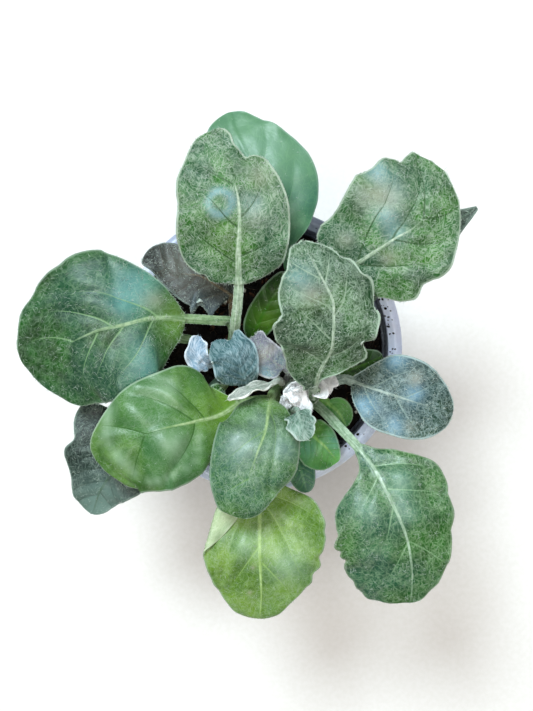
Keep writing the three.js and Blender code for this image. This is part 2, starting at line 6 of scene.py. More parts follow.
import bpy
import numpy as np
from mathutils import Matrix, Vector


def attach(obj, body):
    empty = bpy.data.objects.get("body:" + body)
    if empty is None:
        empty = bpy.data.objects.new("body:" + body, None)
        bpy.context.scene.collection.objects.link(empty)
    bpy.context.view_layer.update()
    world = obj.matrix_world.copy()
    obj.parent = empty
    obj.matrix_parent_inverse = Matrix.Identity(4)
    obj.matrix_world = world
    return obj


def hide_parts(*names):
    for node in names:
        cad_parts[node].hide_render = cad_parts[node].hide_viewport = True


# A young dusty miller in its nursery pot: felted leaves, two woolly crowns, potting soil and a plastic pot.
# Shapes are worked out in millimetres and become metres as each mesh is made. +Z is up.
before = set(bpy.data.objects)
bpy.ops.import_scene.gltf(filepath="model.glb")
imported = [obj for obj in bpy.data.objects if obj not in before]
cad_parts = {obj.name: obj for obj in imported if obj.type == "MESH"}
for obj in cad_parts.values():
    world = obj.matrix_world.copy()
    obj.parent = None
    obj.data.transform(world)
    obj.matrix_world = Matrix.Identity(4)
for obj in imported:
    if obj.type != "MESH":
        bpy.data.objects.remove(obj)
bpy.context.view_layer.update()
started = time.time()
mm = 0.001
up = np.array([0.0, 0.0, 1.0])
scene = bpy.context.scene


def report(stage):
    print(f"{stage}: {time.time() - started:.1f} s")


camera = dict(place=(2.32, -2.72, 492.0), lens=55.0, longSide=36.0)  # straight above, 400 mm over the rim


def makeCamera():
    data = bpy.data.cameras.new("camera")
    data.lens = camera["lens"]
    data.sensor_width = camera["longSide"]
    data.clip_start = 0.01
    holder = bpy.data.objects.new("camera", data)
    holder.location = [value * mm for value in camera["place"]]
    scene.collection.objects.link(holder)
    scene.camera = holder


makeCamera()


# Meshes.
def meshOf(name, points, faces):  # faces: a list of arrays of corners, each with a fixed number of corners
    mesh = bpy.data.meshes.new(name)
    mesh.vertices.add(len(points))
    mesh.vertices.foreach_set("co", (np.asarray(points) * mm).astype(np.float32).ravel())
    sizes = np.concatenate([np.full(len(part), part.shape[1]) for part in faces])
    corners = np.concatenate([part.ravel() for part in faces]).astype(np.int32)
    mesh.loops.add(len(corners))
    mesh.loops.foreach_set("vertex_index", corners)
    mesh.polygons.add(len(sizes))
    mesh.polygons.foreach_set("loop_start", (np.cumsum(sizes) - sizes).astype(np.int32))
    mesh.update(calc_edges=True)
    mesh.polygons.foreach_set("use_smooth", np.ones(len(sizes), bool))
    return mesh


def addValues(mesh, values):  # numbers that the materials read, one or three for each vertex
    for name, data in values.items():
        kind, key = ("FLOAT_VECTOR", "vector") if data.ndim == 2 else ("FLOAT", "value")
        attribute = mesh.attributes.new(name, kind, "POINT")
        attribute.data.foreach_set(key, data.astype(np.float32).ravel())


def addPiece(name, mesh, materials, node=None):
    for material in materials:
        mesh.materials.append(material)
    piece = bpy.data.objects.new(name, mesh)
    scene.collection.objects.link(piece)
    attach(piece, "root")
    if node:
        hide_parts(node)
    return piece


def unit(vectors):
    return vectors / np.maximum(np.linalg.norm(vectors, axis=-1, keepdims=True), 1e-9)


def ripples(places, size, seed):  # smooth random hills about `size` mm across, -1 to 1
    chance = np.random.default_rng(seed)
    total = 0
    for _ in range(9):
        direction = unit(chance.normal(size=places.shape[-1]))
        wave = 2 * math.pi / (size * chance.uniform(1.5, 3.0))
        total = total + np.sin(places @ direction * wave + chance.uniform(0, 2 * math.pi))
    return total / 3.6


# Materials.
def toLinear(colour):
    values = [int(colour[i : i + 2], 16) / 255 for i in (0, 2, 4)]
    return tuple(v / 12.92 if v <= 0.04045 else ((v + 0.055) / 1.055) ** 2.4 for v in values) + (1.0,)


def addNode(tree, kind, inputs=(), output=0, **settings):  # inputs: a list in their order, or a dictionary
    node = tree.nodes.new("ShaderNode" + kind)
    for key, value in settings.items():
        setattr(node, key, value)
    for key, value in inputs.items() if isinstance(inputs, dict) else enumerate(inputs):
        if isinstance(value, bpy.types.NodeSocket):
            tree.links.new(value, node.inputs[key])
        else:
            node.inputs[key].default_value = toLinear(value) if isinstance(value, str) else value
    return node.outputs[output]


soft = dict(interpolation_type="SMOOTHSTEP")  # settings that many nodes share
times = dict(operation="MULTIPLY")
larger = dict(operation="MAXIMUM")


def newMaterial(name, constants):  # a Principled material with what is the same all over it
    material = bpy.data.materials.new(name)
    material.use_nodes = True
    shader = material.node_tree.nodes["Principled BSDF"]
    for key, value in constants.items():
        shader.inputs[key].default_value = value
    return material, partial(addNode, material.node_tree)


def wired(material, varying):  # the material with what varies over its surface
    tree = material.node_tree
    for key, value in varying.items():
        tree.links.new(value, tree.nodes["Principled BSDF"].inputs[key])
    return material


def layered(add, colour, layers):  # layers over a base colour: how much of each shows, and its own colour
    for share, over in layers:
        colour = add("Mix", {0: share, 6: colour, 7: over}, output=2, data_type="RGBA")
    return colour


def spots(add, place, size, edges, levels=(0, 1), detail=2):  # soft random spots about `size` across
    cloud = add("TexNoise", {"Vector": place, "Scale": 1 / size, "Detail": detail})
    return add("MapRange", [cloud, *edges, *levels], **soft)


# Leaf finishes. Plant tissue, grown: a green blade under a clear wax, and white felt hairs that lie over it.
#   dark, light      greens of the blade, in soft clouds
#   vein, side       midrib, and side veins with how strongly they show
#   felt, rim        how much of the colour the strokes of felt hide, all over and along the very margin
#   haze             even paleness from the finest hairs
#   cool             green that the blade turns to in places
#   down             colour of the felt
#   bloom            wax bloom of the pale patches
#   bloomAndSheen    colour of the pale patches: wax bloom, and painted sheen of reflected light
#   lie              ways the strokes lie, in degrees from the midrib
#   gloss            roughness of the bare wax
plainLook = dict(dark="0f3a09", light="1e5a17", cool="124f42", vein="a3bd8c", side=("8fb070", 0.6),
                 felt=0.15, rim=0.4, haze=0.0, gloss=0.32, down="bccfbc", bloomAndSheen="7fb0b8",
                 stroke=(0.26, 2.6), lie=(-28, 12, 50, 108))
longFelt = dict(stroke=(0.42, 3.6), lie=(-14, 3, 17))  # of the youngest leaves
finishes = {
    "felted": dict(dark="15450a", light="357414", cool="1a5038", vein="c3d1bb", side=("244a1a", 0.7),
                   felt=0.5, rim=0.8, gloss=0.46, down="b6c4b0", bloomAndSheen="8fb4ba"),
    "paleVeins": dict(dark="0e3406", light="275a12", cool="134026", vein="bccbb6", side=("a4b89e", 0.45),
                      felt=0.48, rim=1.0, gloss=0.46, down="a6b9a4", bloomAndSheen="8fb4b8"),
    "dusky": dict(dark="0a0907", light="1b1712", cool="151d1e", vein="857459", side=("4d483d", 0.5),
                  felt=0.5, rim=0.8, haze=0.02, gloss=0.42, down="747f7a", bloomAndSheen="71848f"),
    "grey": dict(dark="07160b", light="17321d", cool="132a29", vein="5f7865", side=("1a2e20", 0.25),
                 felt=0.48, rim=0.75, haze=0.01, gloss=0.42, down="7e9085", bloomAndSheen="86a499"),
    "green": dict(dark="0c3406", light="1e5a12", cool="0f4a38", vein="9fb78f", side=("84a578", 0.7),
                  gloss=0.4, bloomAndSheen="76b0ae"),
    "mint": dict(dark="1b4b10", light="2b661e", vein="b6ccb4", side=("a8cb9f", 0.35), felt=0.26,
                 down="b6c8a8", bloomAndSheen="8ab0a0"),
    "bright": dict(dark="36601d", light="638a40", cool="447548", vein="b6cb9c", side=("2a5a14", 0.6),
                   felt=0.13, rim=0.5, gloss=0.33, bloomAndSheen="a4bfa2"),
    "oval": dict(dark="28501b", light="4f7937", cool="33644c", vein="a9c28c", side=("7fa35e", 0.35),
                 felt=0.26, gloss=0.34, bloomAndSheen="92aaa6"),
    "yellow": dict(dark="4b7015", light="77983a", cool="5c8340", vein="b4d08e", side=("a0c076", 0.5),
                   felt=0.24, bloomAndSheen="a0bfae"),
    "blue": dict(dark="4c7b5c", light="5d8868", cool="3d7060", vein="6c9c74", side=("6f9f70", 0.35),
                 felt=0.04, rim=0.3, haze=0.02, gloss=0.38, down="b4d0be", bloomAndSheen="84a982"),
    "deep": dict(dark="0f2c05", light="2d6110", cool="184a12", vein="47781c", side=("4a7a1c", 0.15),
                 felt=0.03, rim=0.3, gloss=0.34),
    "inner": dict(dark="38783a", light="6dac59", cool="458b62", vein="8fb868", side=("5f9048", 0.4),
                  felt=0.08, rim=0.4, gloss=0.34),
    "silver": dict(dark="0b2810", light="214427", cool="153f42", vein="b5c6bc", side=("9db2a8", 0.45),
                   felt=0.48, rim=0.95, haze=0.02, gloss=0.42, down="a8bcba", bloomAndSheen="86b2cc"),
    "youngSilver": dict(dark="304f55", light="517479", cool="3a6668", vein="8fabb0", side=("6f8d94", 0.4),
                        felt=0.52, rim=0.95, haze=0.02, gloss=0.45, down="a6bcc0", **longFelt),
    "youngGreen": dict(dark="3d5d50", light="688874", cool="527666", vein="aabeb0", side=("98b0a2", 0.4),
                       felt=0.5, rim=0.95, haze=0.04, gloss=0.45, down="b9c9c0", **longFelt),
    "white": dict(dark="4a7088", light="8fb0c6", cool="86a9c0", vein="dfe6ee", side=("c3d0dc", 0.3),
                  felt=0.7, rim=1.0, haze=0.1, gloss=0.5, down="e2ebf4", **longFelt),
    "mauve": dict(dark="3c3a44", light="696672", cool="575a6c", vein="8d8890", side=("8b8890", 0.3),
                  felt=0.5, rim=0.9, haze=0.12, gloss=0.5, down="c3bfc8"),
    "creamy": dict(dark="7d877b", light="a8ada1", cool="93a09c", vein="d5d6cd", side=("c9cbc2", 0.3),
                   felt=0.6, rim=1.0, haze=0.1, gloss=0.6, down="e6e6df", **longFelt),
    "stem": dict(dark="5d6b55", light="8d9a83", cool="6f8172", vein="b9c3b0", side=("b9c3b0", 0.1),
                 felt=0.6, rim=0.8, haze=0.1, gloss=0.7, down="cfd6c9"),
    "wool": dict(dark="f4f2ee", light="ffffff", cool="faf8fc", vein="fbf9f5", side=("fbf9f5", 0.1),
                 felt=0.8, rim=1.0, haze=0.6, gloss=0.8, down="ffffff"),
    "paleBack": dict(dark="7f9a6a", light="a9bd8d", cool="98b48c", vein="d3e0b8", side=("c3d4a8", 0.5),
                     felt=0.5, rim=0.6, haze=0.25, gloss=0.6, down="d8e2c8"),
    "feltBack": dict(dark="71806c", light="93a18d", cool="82958a", vein="d0d8cc", side=("c0cabb", 0.6),
                     felt=0.8, rim=0.9, haze=0.45, gloss=0.7, down="dde3da"),
}
looks = {name: {**plainLook, **own} for name, own in finishes.items()}
leafPattern = dict(  # sizes in mm, and colours
    clouds=7, coolAreas=22, net=2.6, netSway=2.4, netSwaySize=2, cover=7, worn=1.3, wax=3, relief=0.12,
    streaks=(1.8, 0.12, 1), fresh="86ac38", dried="a8a594")


# Curved strokes, 0 to 1. Real felt hairs are 0.02 mm wide and too fine to show, so the strokes are drawn
# more than ten times as wide.
def strokesOf(add, place, width, length, lie):
    sway = add("TexNoise", {"Vector": place, "Scale": 1 / (1.2 * length), "Detail": 1}, output=1)
    bent = add("VectorMath", [sway, (length, length, 0), place], operation="MULTIPLY_ADD")
    found = 0.0
    for angle in lie:
        turned = add("VectorRotate", {"Vector": bent, "Angle": math.radians(angle)}, rotation_type="Z_AXIS")
        drawn = add("VectorMath", [turned, (1 / width, 1 / length, angle)], **times)
        found = add("Math", [spots(add, drawn, 1, (0.54, 0.72), detail=0), found], **larger)
    return found


def veinBand(add, distance, width, edges, strength, widths):  # how much of a vein shows at each place
    away = add("Math", [distance], operation="ABSOLUTE")
    share = add("Math", [away, add("Math", [width, 0.01], **larger)], operation="DIVIDE")
    band = add("MapRange", [share, *edges, strength, 0], **soft)
    return add("Math", [band, add("MapRange", [width, *widths], **soft)], **times)


def leafMaterial(name, look):
    pattern = SimpleNamespace(**leafPattern)
    constants = {"IOR": 1.5, "Sheen Weight": 0.1 * look["felt"], "Sheen Roughness": 0.5}
    material, add = newMaterial(name, constants)
    vectors = ("leafPlace", "veins", "patch")
    place, veins, patch = (add("Attribute", attribute_name=key, output=1) for key in vectors)
    edge = add("Attribute", attribute_name="edge", output=2)
    side, sideWidth, midWidth = add("SeparateXYZ", [veins]).node.outputs
    bloomAndSheen, yellow, brown = add("SeparateXYZ", [patch]).node.outputs
    across = add("SeparateXYZ", [place])

    shade = spots(add, place, pattern.clouds, (0.3, 0.7), detail=4)
    cool = spots(add, place, pattern.coolAreas, (0.4, 0.62), (0, 0.65), detail=1)
    sway = add("TexNoise", {"Vector": place, "Scale": 1 / pattern.netSwaySize, "Detail": 1}, output=1)
    swayed = (pattern.netSway, pattern.netSway, 0)
    wander = add("VectorMath", [sway, swayed, place], operation="MULTIPLY_ADD")
    cell = add("TexVoronoi", {"Vector": wander, "Scale": 1 / pattern.net}, feature="DISTANCE_TO_EDGE")
    net = add("MapRange", [cell, 0, 0.1, 1, 0], **soft)  # net of the finest veins

    strokes = strokesOf(add, place, *look["stroke"], look["lie"])
    cover = spots(add, place, pattern.cover, (0.3, 0.7), (0.65, 1.15))
    sparse = add("MapRange", [add("Math", [bloomAndSheen, brown], **larger), 0, 1, 1, 0.5], **soft)
    felt = add("Math", [strokes, look["felt"]], **times)
    for share in (cover, sparse):  # more and less of it in patches, and less on wax bloom, painted sheen and dried tissue
        felt = add("Math", [felt, share], **times)
    haze = add("MapRange", [edge, 0.3, 0.8, look["rim"], look["haze"]], **soft)
    white = add("Math", [add("Math", [felt, haze], **larger), 1], operation="MINIMUM")

    sideVein = veinBand(add, side, sideWidth, (0.5, 1.3), 1, (0.02, 0.18))
    midVein = veinBand(add, across, midWidth, (0.45, 1.25), 0.95, (0.1, 0.5))
    worn = spots(add, place, pattern.worn, (0.38, 0.6), (0.65, 1))  # the midrib's uneven colour
    lengthwise = add("VectorMath", [place, pattern.streaks], **times)
    streak = spots(add, lengthwise, 1, (0.4, 0.62), (0, 0.45))  # along the midrib, about 0.5 mm apart
    sideColour, sideStrength = look["side"]
    colour = layered(add, look["dark"], [
        (shade, look["light"]),
        (cool, look["cool"]),
        (yellow, pattern.fresh),  # young tissue at the base
        (add("Math", [net, 0.2], **times), sideColour),
        # painted sheen: pale patches of wax bloom that also stand in for light reflected off the wax
        (bloomAndSheen, look["bloomAndSheen"]),
        (brown, pattern.dried),
        (white, look["down"]),
        (add("Math", [sideVein, sideStrength], **times), sideColour),
        (add("Math", [midVein, worn], **times), layered(add, look["vein"], [(streak, look["light"])])),
    ])
    wax = spots(add, place, pattern.wax, (0.3, 0.7), (look["gloss"] - 0.03, look["gloss"] + 0.05))
    roughness = add("Math", [white, 0.15, wax], operation="MULTIPLY_ADD")
    height = add("Math", [strokes, 0.1 + 0.6 * look["felt"]], **times)
    for groove, depth in ((net, 0.2), (sideVein, 0.8)):
        height = add("Math", [groove, -depth, height], operation="MULTIPLY_ADD")
    bump = add("Bump", {"Strength": 0.6, "Distance": pattern.relief * mm, "Height": height})
    return wired(material, {"Base Color": colour, "Roughness": roughness, "Normal": bump})


leafMaterials = {}
for name, look in looks.items():
    leafMaterials[name] = leafMaterial(f"leaf tissue grown, {name} finish", look)


def hairMaterial(name, colour, shadow):
    # Plant hair, dry and hollow, grown: matt and pale with a soft sheen, a little darker in places.
    constants = {"IOR": 1.5, "Roughness": 0.6, "Sheen Weight": 0.3, "Sheen Roughness": 0.4}
    material, add = newMaterial(name, constants)
    shade = spots(add, add("TexCoord", output=3), 3 * mm, (0.35, 0.65))
    return wired(material, {"Base Color": layered(add, shadow, [(shade, colour)])})


hairWhite = hairMaterial("plant hair grown, white", "ffffff", "eceef0")
hairGrey = hairMaterial("plant hair grown, grey", "d3ddd3", "a3b3a2")
hairBlue = hairMaterial("plant hair grown, bluish white", "dce8f0", "a9bfcc")

# Leaves. One leaf is a lofted body from the foot of its stalk to its tip. Sizes are in mm.
#   spine         points along the stalk and the midrib; the blade starts at point number `blade`
#   left, right   half-widths of the blade at evenly turned stations, which crowd together at both ends
#   stalk         half-width of the stalk at its foot and at the blade
#   cup, fold     rise of the margins over the midrib: curved like a dish, or straight like an open book
#   wave          height and number of the waves along the margins
#   roll          turn about the midrib in degrees, at the blade's start and at its tip
#   steady        how far the rows across a blade keep one direction where the midrib curves, 0 to 1
#   curl          margin that folds back over the blade: side (1 left, -1 right), start at both ends, radius
#   nicks         notches in the margin, or lobes where the depth is negative: place along the blade
#                 (0 to 1), mm across it (to the left above 0), radius and depth
#   sideVeins     one entry each: side, start along the midrib (0 to 1), angle off it, bend to the tip, reach
#   midrib        half-width of the pale midrib at the blade's start and where it fades, and the share where
#                 it does
#   stalkRib      half-width of the pale midrib on the stalk, as a share of the stalk's
#   bulge         how far the tissue between the side veins stands up
#   crumple       how strong the unevenness of the surface is
#   puckers       single blisters: place along the blade, mm across, radius, height
#   patches       wax bloom and painted sheen (0), yellow (1) or brown (2): kind, place along the blade,
#                 mm across, radius, strength
#   hairs         number on the face and along the margins, and their length; hairWidth is their radius
#   grid          size of the mesh's cells
#   look, back    finish of the face and of the underside
shoots = {
    "right": dict(x=12.5, y=-15.5, radius=4.3, foot=60, top=114),
    "left": dict(x=-9.8, y=-8.5, radius=4.0, foot=60, top=108),
}
seat = 0.3  # gap between a stalk's foot and its stem
plainLeaf = dict(stalk=(1.8, 1.6), cup=0, fold=0, wave=(0, 2), roll=(0, 0), steady=0, curl=None, nicks=(),
                 sideVeins=None, midrib=(0.9, 0.3, 0.95), stalkRib=3, bulge=0.7, crumple=1, puckers=(),
                 patches=(), hairs=(500, 300, 1.6), hairWidth=0.07, grid=0.85, thickness=0.55,
                 look="green", back="feltBack", slot="green_leaf")
youngLeaf = dict(plainLeaf, stalk=(1.2, 1.1), midrib=(0.5, 0.2, 0.9), bulge=0.3, crumple=1.6,
                 hairs=(500, 350, 1.3), hairWidth=0.09, grid=0.55, thickness=0.5)


def foot(shoot, turn, height, outward=2.6):  # where a stalk leaves its stem, and a point further out and up
    stem = shoots[shoot]
    turn = math.radians(turn)
    steps = [(stem["radius"] + seat + reach, height + 1.1 * reach) for reach in (0, outward)]
    return [(stem["x"] + r * math.cos(turn), stem["y"] + r * math.sin(turn), z) for r, z in steps]


# Pale patches in a ring round a blister: painted sheen where its slopes would catch the light.
def sheenRing(place, across, strength, reach=(0.087, 4), radius=1.5, count=12):  # ring round a blister
    along, sideways = reach  # a share of the blade's length, and mm
    turns = [step * math.tau / count for step in range(count)]
    return [(0, place + along * math.cos(turn), across + sideways * math.sin(turn), radius, strength)
            for turn in turns]


leaves = {
    "leaf_north_felted": dict(
        spine=[*foot("left", 75, 101, 1), (-8.5, 6, 119.5), (-7.5, 14.5, 125), (-7, 21, 128), (-7, 31, 133),
               (-6.5, 41, 137), (-7, 49, 138), (-9, 56, 138), (-14.5, 72, 134)],
        blade=4, cup=1, wave=(1, 2.5), look="felted", slot="felted_leaf", hairs=(900, 700, 1.8),
        hairWidth=0.08, midrib=(1.3, 0.3, 0.62),
        left=[9, 12.5, 17.5, 20, 20.5, 20, 19.5, 17.5, 13.5, 10, 6.5],
        right=[4.5, 10, 14.5, 16, 16.5, 16, 13.5, 9.5, 4.5, 4, 2.5],
        nicks=[(0.79, -6.5, 2.0, 2.5), (0.7, -11, 3, -1), (0.05, 11.5, 1.5, 1)],
        sideVeins=[(1, 0.14, 60, 10, 16), (1, 0.36, 65, 45, 13), (1, 0.62, 45, 10, 10),
                   (-1, 0.18, 65, 10, 13), (-1, 0.42, 50, 15, 9)],
        puckers=[(0.53, 6, 4.8, 2.4), (0.53, 6, 2.4, -1.7), (0.44, -4, 4, 0.6)],
        patches=[*sheenRing(0.53, 6, 0.55), (0, 0.54, 6, 3.0, 0.12), (0, 0.49, -4, 4, 0.35),
                 (2, 0.43, -5, 4, 0.3), (1, 0.3, 4, 8, 0.15), (2, 0.62, -9, 4, 0.3)],
    ),
    "leaf_north_smooth": dict(
        spine=[*foot("right", 100, 91), (10.5, 8, 100), (11.5, 22, 104.5), (10, 29, 110.5), (9, 33, 115),
               (4.5, 43.5, 120), (0, 55, 123), (-5.5, 67.5, 122), (-9, 75, 120), (-10.5, 81, 118)],
        blade=5, cup=-2, bulge=0.4, look="blue", slot="blue_leaf", hairs=(60, 60, 1.0),
        midrib=(0.5, 0.2, 0.8),
        left=[3, 9, 13.5, 14.5, 13.5, 11, 5.5],
        right=[5, 13.5, 18.5, 20, 16.5, 11, 7],
        sideVeins=[(1, 0.3, 50, 15, 9), (-1, 0.15, 50, 22, 13), (-1, 0.5, 45, 15, 9)],
        patches=[(0, 0.72, -3, 13, 0.4), (0, 0.5, -12, 8, 0.25)],
    ),
    "leaf_west_large": dict(
        spine=[*foot("left", 112, 96, 1), (-9.5, 4.5, 106), (-10.5, 9, 109.5), (-15, 9.5, 113),
               (-25.5, 10, 118), (-36, 10, 124), (-46, 7.5, 127), (-56, 5, 128), (-67.5, -1, 124),
               (-77, -11, 118)],
        blade=5, cup=-4, look="green", hairs=(1000, 700, 2.0), hairWidth=0.055, midrib=(1.2, 0.2, 0.68),
        left=[8, 18.5, 21.5, 24, 23.5, 22.5, 15.5],
        right=[4, 12, 24, 27.5, 23.5, 15.5, 9.5],
        nicks=[(0.57, -25, 3, 1), (0.74, -21.5, 2.5, 0.8), (0.88, 20, 1.6, 0.8), (0.93, 17, 1.6, -0.6)],
        sideVeins=[(-1, 0.17, 50, 28, 17), (-1, 0.42, 45, 15, 14), (-1, 0.66, 45, 10, 10),
                   (1, 0.19, 52, 10, 18), (1, 0.36, 45, 10, 14), (1, 0.5, 45, 15, 13)],
        puckers=[(0.36, -6.5, 6, 0.9), (0.35, 15.5, 6, 1), (0.17, -6, 4, 0.6)],
        patches=[(0, 0.33, -7, 6, 0.5), (0, 0.23, -14, 7, 0.4), (0, 0.3, 18, 6.5, 0.45),
                 (2, 0.18, -6, 3, 0.3), (0, 0.33, 8, 5, 0.25), (1, 0.06, 0, 9, 0.4)],
    ),
    "leaf_southwest_puckered": dict(
        spine=[*foot("right", 210, 97), (0.5, -18.5, 107), (-7, -19.5, 115.5), (-13.5, -23, 120.5),
               (-22, -25, 126.5), (-36, -28, 131), (-49.5, -34, 128), (-55, -38.5, 125)],
        blade=3, cup=-5, bulge=1.0, look="bright", hairs=(260, 400, 1.2), hairWidth=0.045,
        midrib=(1.1, 0.2, 0.6),
        left=[2, 5.5, 17, 21, 20.5, 18, 17],
        right=[4, 13.5, 19.5, 18.5, 16, 10.5, 5],
        sideVeins=[(-1, 0.27, 65, 20, 15), (-1, 0.34, 48, 15, 13), (-1, 0.64, 40, 10, 9),
                   (1, 0.34, 80, 45, 16), (1, 0.64, 50, 10, 12)],
        puckers=[(0.52, 5, 7, 1.7), (0.57, -7, 4.5, -1.1), (0.43, -11, 5, 0.8), (0.82, -6, 5, 0.9),
                 (0.84, 4, 5, 0.8)],
        patches=[(1, 0.05, 0, 13, 0.6), (0, 0.5, 5, 4, 0.35), (0, 0.46, -12.5, 4, 0.45),
                 (0, 0.79, -12, 2.2, 0.45), (0, 0.82, -9, 2.2, 0.45), (0, 0.85, -5.5, 2.2, 0.45),
                 (0, 0.86, -2, 2, 0.3), (0, 0.85, 2.5, 2.6, 0.45), (0, 0.83, 6.5, 2.6, 0.45),
                 (0, 0.82, 10.5, 2.2, 0.4), (0, 0.75, 15.5, 1.8, 0.4), (0, 0.69, 16.3, 1.8, 0.45),
                 (0, 0.61, 16.5, 1.8, 0.45), (0, 0.53, 16.2, 1.8, 0.4), (0, 0.43, 15, 1.6, 0.35),
                 (0, 0.37, 13, 1.6, 0.35), (0, 0.34, 9.5, 1.6, 0.35), (0, 0.33, 5.5, 1.6, 0.3),
                 (0, 0.48, 8, 4.5, 0.25), (0, 0.55, -6, 2.2, -0.5)],
    ),
    "leaf_south_upper": dict(
        spine=[*foot("right", 166, 101, 1), (5, -15.5, 113.5), (4, -17, 121), (3, -21, 127.5),
               (2, -27.5, 131.5), (-1, -35.5, 134), (-4, -45, 134), (-5.5, -57, 130.5)],
        blade=3, cup=-4.5, look="oval", hairs=(420, 300, 1.1), hairWidth=0.045, midrib=(0.85, 0.15, 0.74),
        left=[3, 7.5, 12, 14.5, 12.5, 9, 5],
        right=[4, 10.5, 15, 15, 13.5, 11, 8],
        sideVeins=[(1, 0.16, 45, 38, 9), (-1, 0.33, 38, 10, 9), (-1, 0.7, 50, 0, 7)],
        puckers=[(0.48, -9, 6, 0.9), (0.57, 4.5, 6, 0.8)],
        patches=[(1, 0.02, 0, 6, 0.4), (0, 0.26, -3, 4.5, 0.35), (0, 0.5, -6.5, 5.5, 0.55),
                 (0, 0.4, 7, 5, 0.5)],
    ),
    "leaf_south_yellow": dict(
        spine=[*foot("right", 240, 92), (5, -33, 105), (0.5, -45.5, 112), (0, -57.5, 116), (0, -71.5, 118),
               (0.5, -85, 114), (0, -95.5, 109)],
        blade=3, cup=-3, look="yellow", back="paleBack", slot="yellow_leaf", hairs=(500, 450, 1.4),
        hairWidth=0.05,
        left=[10, 18.5, 23, 22, 18.5, 11, 6],
        right=[9, 21.5, 24.5, 20, 17, 13, 8],
        curl=(-1, 10, 26, 1.2),
        nicks=[(0.35, 22.5, 1.6, 0.7), (0.55, 21.5, 2, 0.8), (0.62, 20, 2, -0.8), (0.68, 18.5, 1.6, 0.8),
               (0.74, 17.5, 2, -0.6)],
        sideVeins=[(-1, 0.05, 45, 30, 13), (-1, 0.45, 40, 10, 10), (1, 0.08, 68, 5, 18),
                   (1, 0.16, 55, 40, 17), (1, 0.55, 45, 15, 10)],
        puckers=[(0.45, -6, 6, 0.9), (0.59, 9.5, 7, 1)],
        patches=[(2, 0.59, -2.5, 0.8, 0.6), (2, 0.78, -4, 0.9, 0.6), (1, 0.1, 3, 16, 0.3),
                 (0, 0.45, -5, 5, 0.3), (0, 0.59, 9.5, 7, 0.4)],
    ),
    "leaf_southeast_large": dict(
        spine=[*foot("right", -36, 96), (21.5, -21.5, 105.5), (27, -27, 115), (33.5, -34, 120),
               (38.5, -40.5, 123), (42.5, -48, 126), (46.5, -56.5, 127), (50, -65.5, 125), (52, -77, 121),
               (52.5, -88.5, 115)],
        blade=4, cup=-3, wave=(1, 4), look="mint", hairs=(900, 650, 1.7), hairWidth=0.055,
        midrib=(0.8, 0.3, 0.95),
        left=[2.5, 4.5, 11, 18.5, 20, 18, 15.5, 13, 9.5, 6, 3],
        right=[2, 3, 6.5, 17.5, 21, 23.5, 22.5, 22.5, 20.5, 17.5, 13.5],
        nicks=[(0.4, -22.5, 2, 0.9), (0.47, -24, 2, -0.8), (0.54, -23, 1.8, 1), (0.6, -22.5, 2, -0.6),
               (0.66, -22, 1.6, 0.9), (0.85, -20, 2, 0.6), (0.44, 19.5, 1.6, 0.8), (0.54, 18.5, 2.5, -0.9),
               (0.61, 16.5, 1.6, 0.7)],
        sideVeins=[(1, 0.14, 70, 10, 17), (1, 0.28, 62, 0, 16), (1, 0.59, 48, 0, 12), (-1, 0.2, 55, 5, 10),
                   (-1, 0.38, 40, 15, 9), (-1, 0.6, 35, 10, 8)],
        puckers=[(0.29, 5.5, 5, 1), (0.45, 3, 5, 0.7), (0.33, -9.5, 6, 1), (0.5, -8, 5, 0.7)],
        patches=[(0, 0.29, 5.5, 5, 0.5), (0, 0.45, 2.5, 4, 0.35), (0, 0.33, -9.5, 5, 0.35),
                 (0, 0.6, -10, 5, 0.2)],
    ),
    "leaf_east_silver": dict(
        spine=[*foot("right", 15, 99), (23, -12.5, 110), (28.5, -11, 117), (31.5, -11.5, 121),
               (40, -14.5, 125), (46.5, -16.5, 126), (54, -19, 125), (66, -22, 121)],
        blade=4, cup=1.5, look="silver", slot="silver_leaf", hairs=(700, 500, 1.4), hairWidth=0.08,
        midrib=(0.6, 0.3, 0.7),
        left=[3.5, 8, 13, 14, 12.5, 8.5, 4],
        right=[4, 8.5, 12.5, 13, 12, 9.5, 5.5],
        sideVeins=[(1, 0.2, 50, 15, 11), (1, 0.5, 45, 10, 9), (-1, 0.12, 50, 15, 11),
                   (-1, 0.42, 45, 10, 10)],
        puckers=[(0.38, 10, 4, 0.9), (0.62, 5, 4, 0.7), (0.3, -8, 4, 0.7)],
        patches=[(0, 0.33, 11.5, 3.8, 0.65), (0, 0.58, 3, 3.5, 0.6), (0, 0.2, -6.5, 4.2, 0.6),
                 (0, 0.5, -10, 4, 0.5), (2, 0.54, 7.5, 2.6, 0.5), (2, 0.62, -8.5, 2, 0.4)],
    ),
    "leaf_northeast_large": dict(
        spine=[*foot("right", 78, 97), (20, 6, 114), (25, 17, 121), (29, 25.5, 126), (32.5, 28, 129),
               (39.5, 32.5, 133), (45, 36, 135), (51, 39.5, 135), (58, 47.5, 133), (61.5, 59.5, 128)],
        blade=4, cup=-2, wave=(1.2, 2.6), steady=0.7, look="felted", slot="felted_leaf",
        hairs=(900, 800, 1.8), hairWidth=0.08, midrib=(0.9, 0.22, 0.6),
        left=[13, 17, 18, 19, 22, 25.2, 24, 23, 18, 13.5, 10.5],
        right=[13.5, 14, 19, 20, 18.5, 18.5, 14.5, 11, 8.5, 5, 2],
        nicks=[(0.88, 16, 2, 1.8), (0.79, 21.5, 2.2, -0.5), (0.95, 12, 2.5, -0.8), (0.17, 18.5, 2.5, 0.6),
               (0.46, 25.5, 3, -0.4), (0.32, -19, 2, 1), (0.24, -20.5, 2.2, -0.8)],
        sideVeins=[(1, 0.11, 40, 20, 19), (1, 0.38, 45, 38, 11), (1, 0.62, 40, 20, 10),
                   (-1, 0.1, 50, 25, 14), (-1, 0.38, 48, 15, 12), (-1, 0.62, 45, 15, 9)],
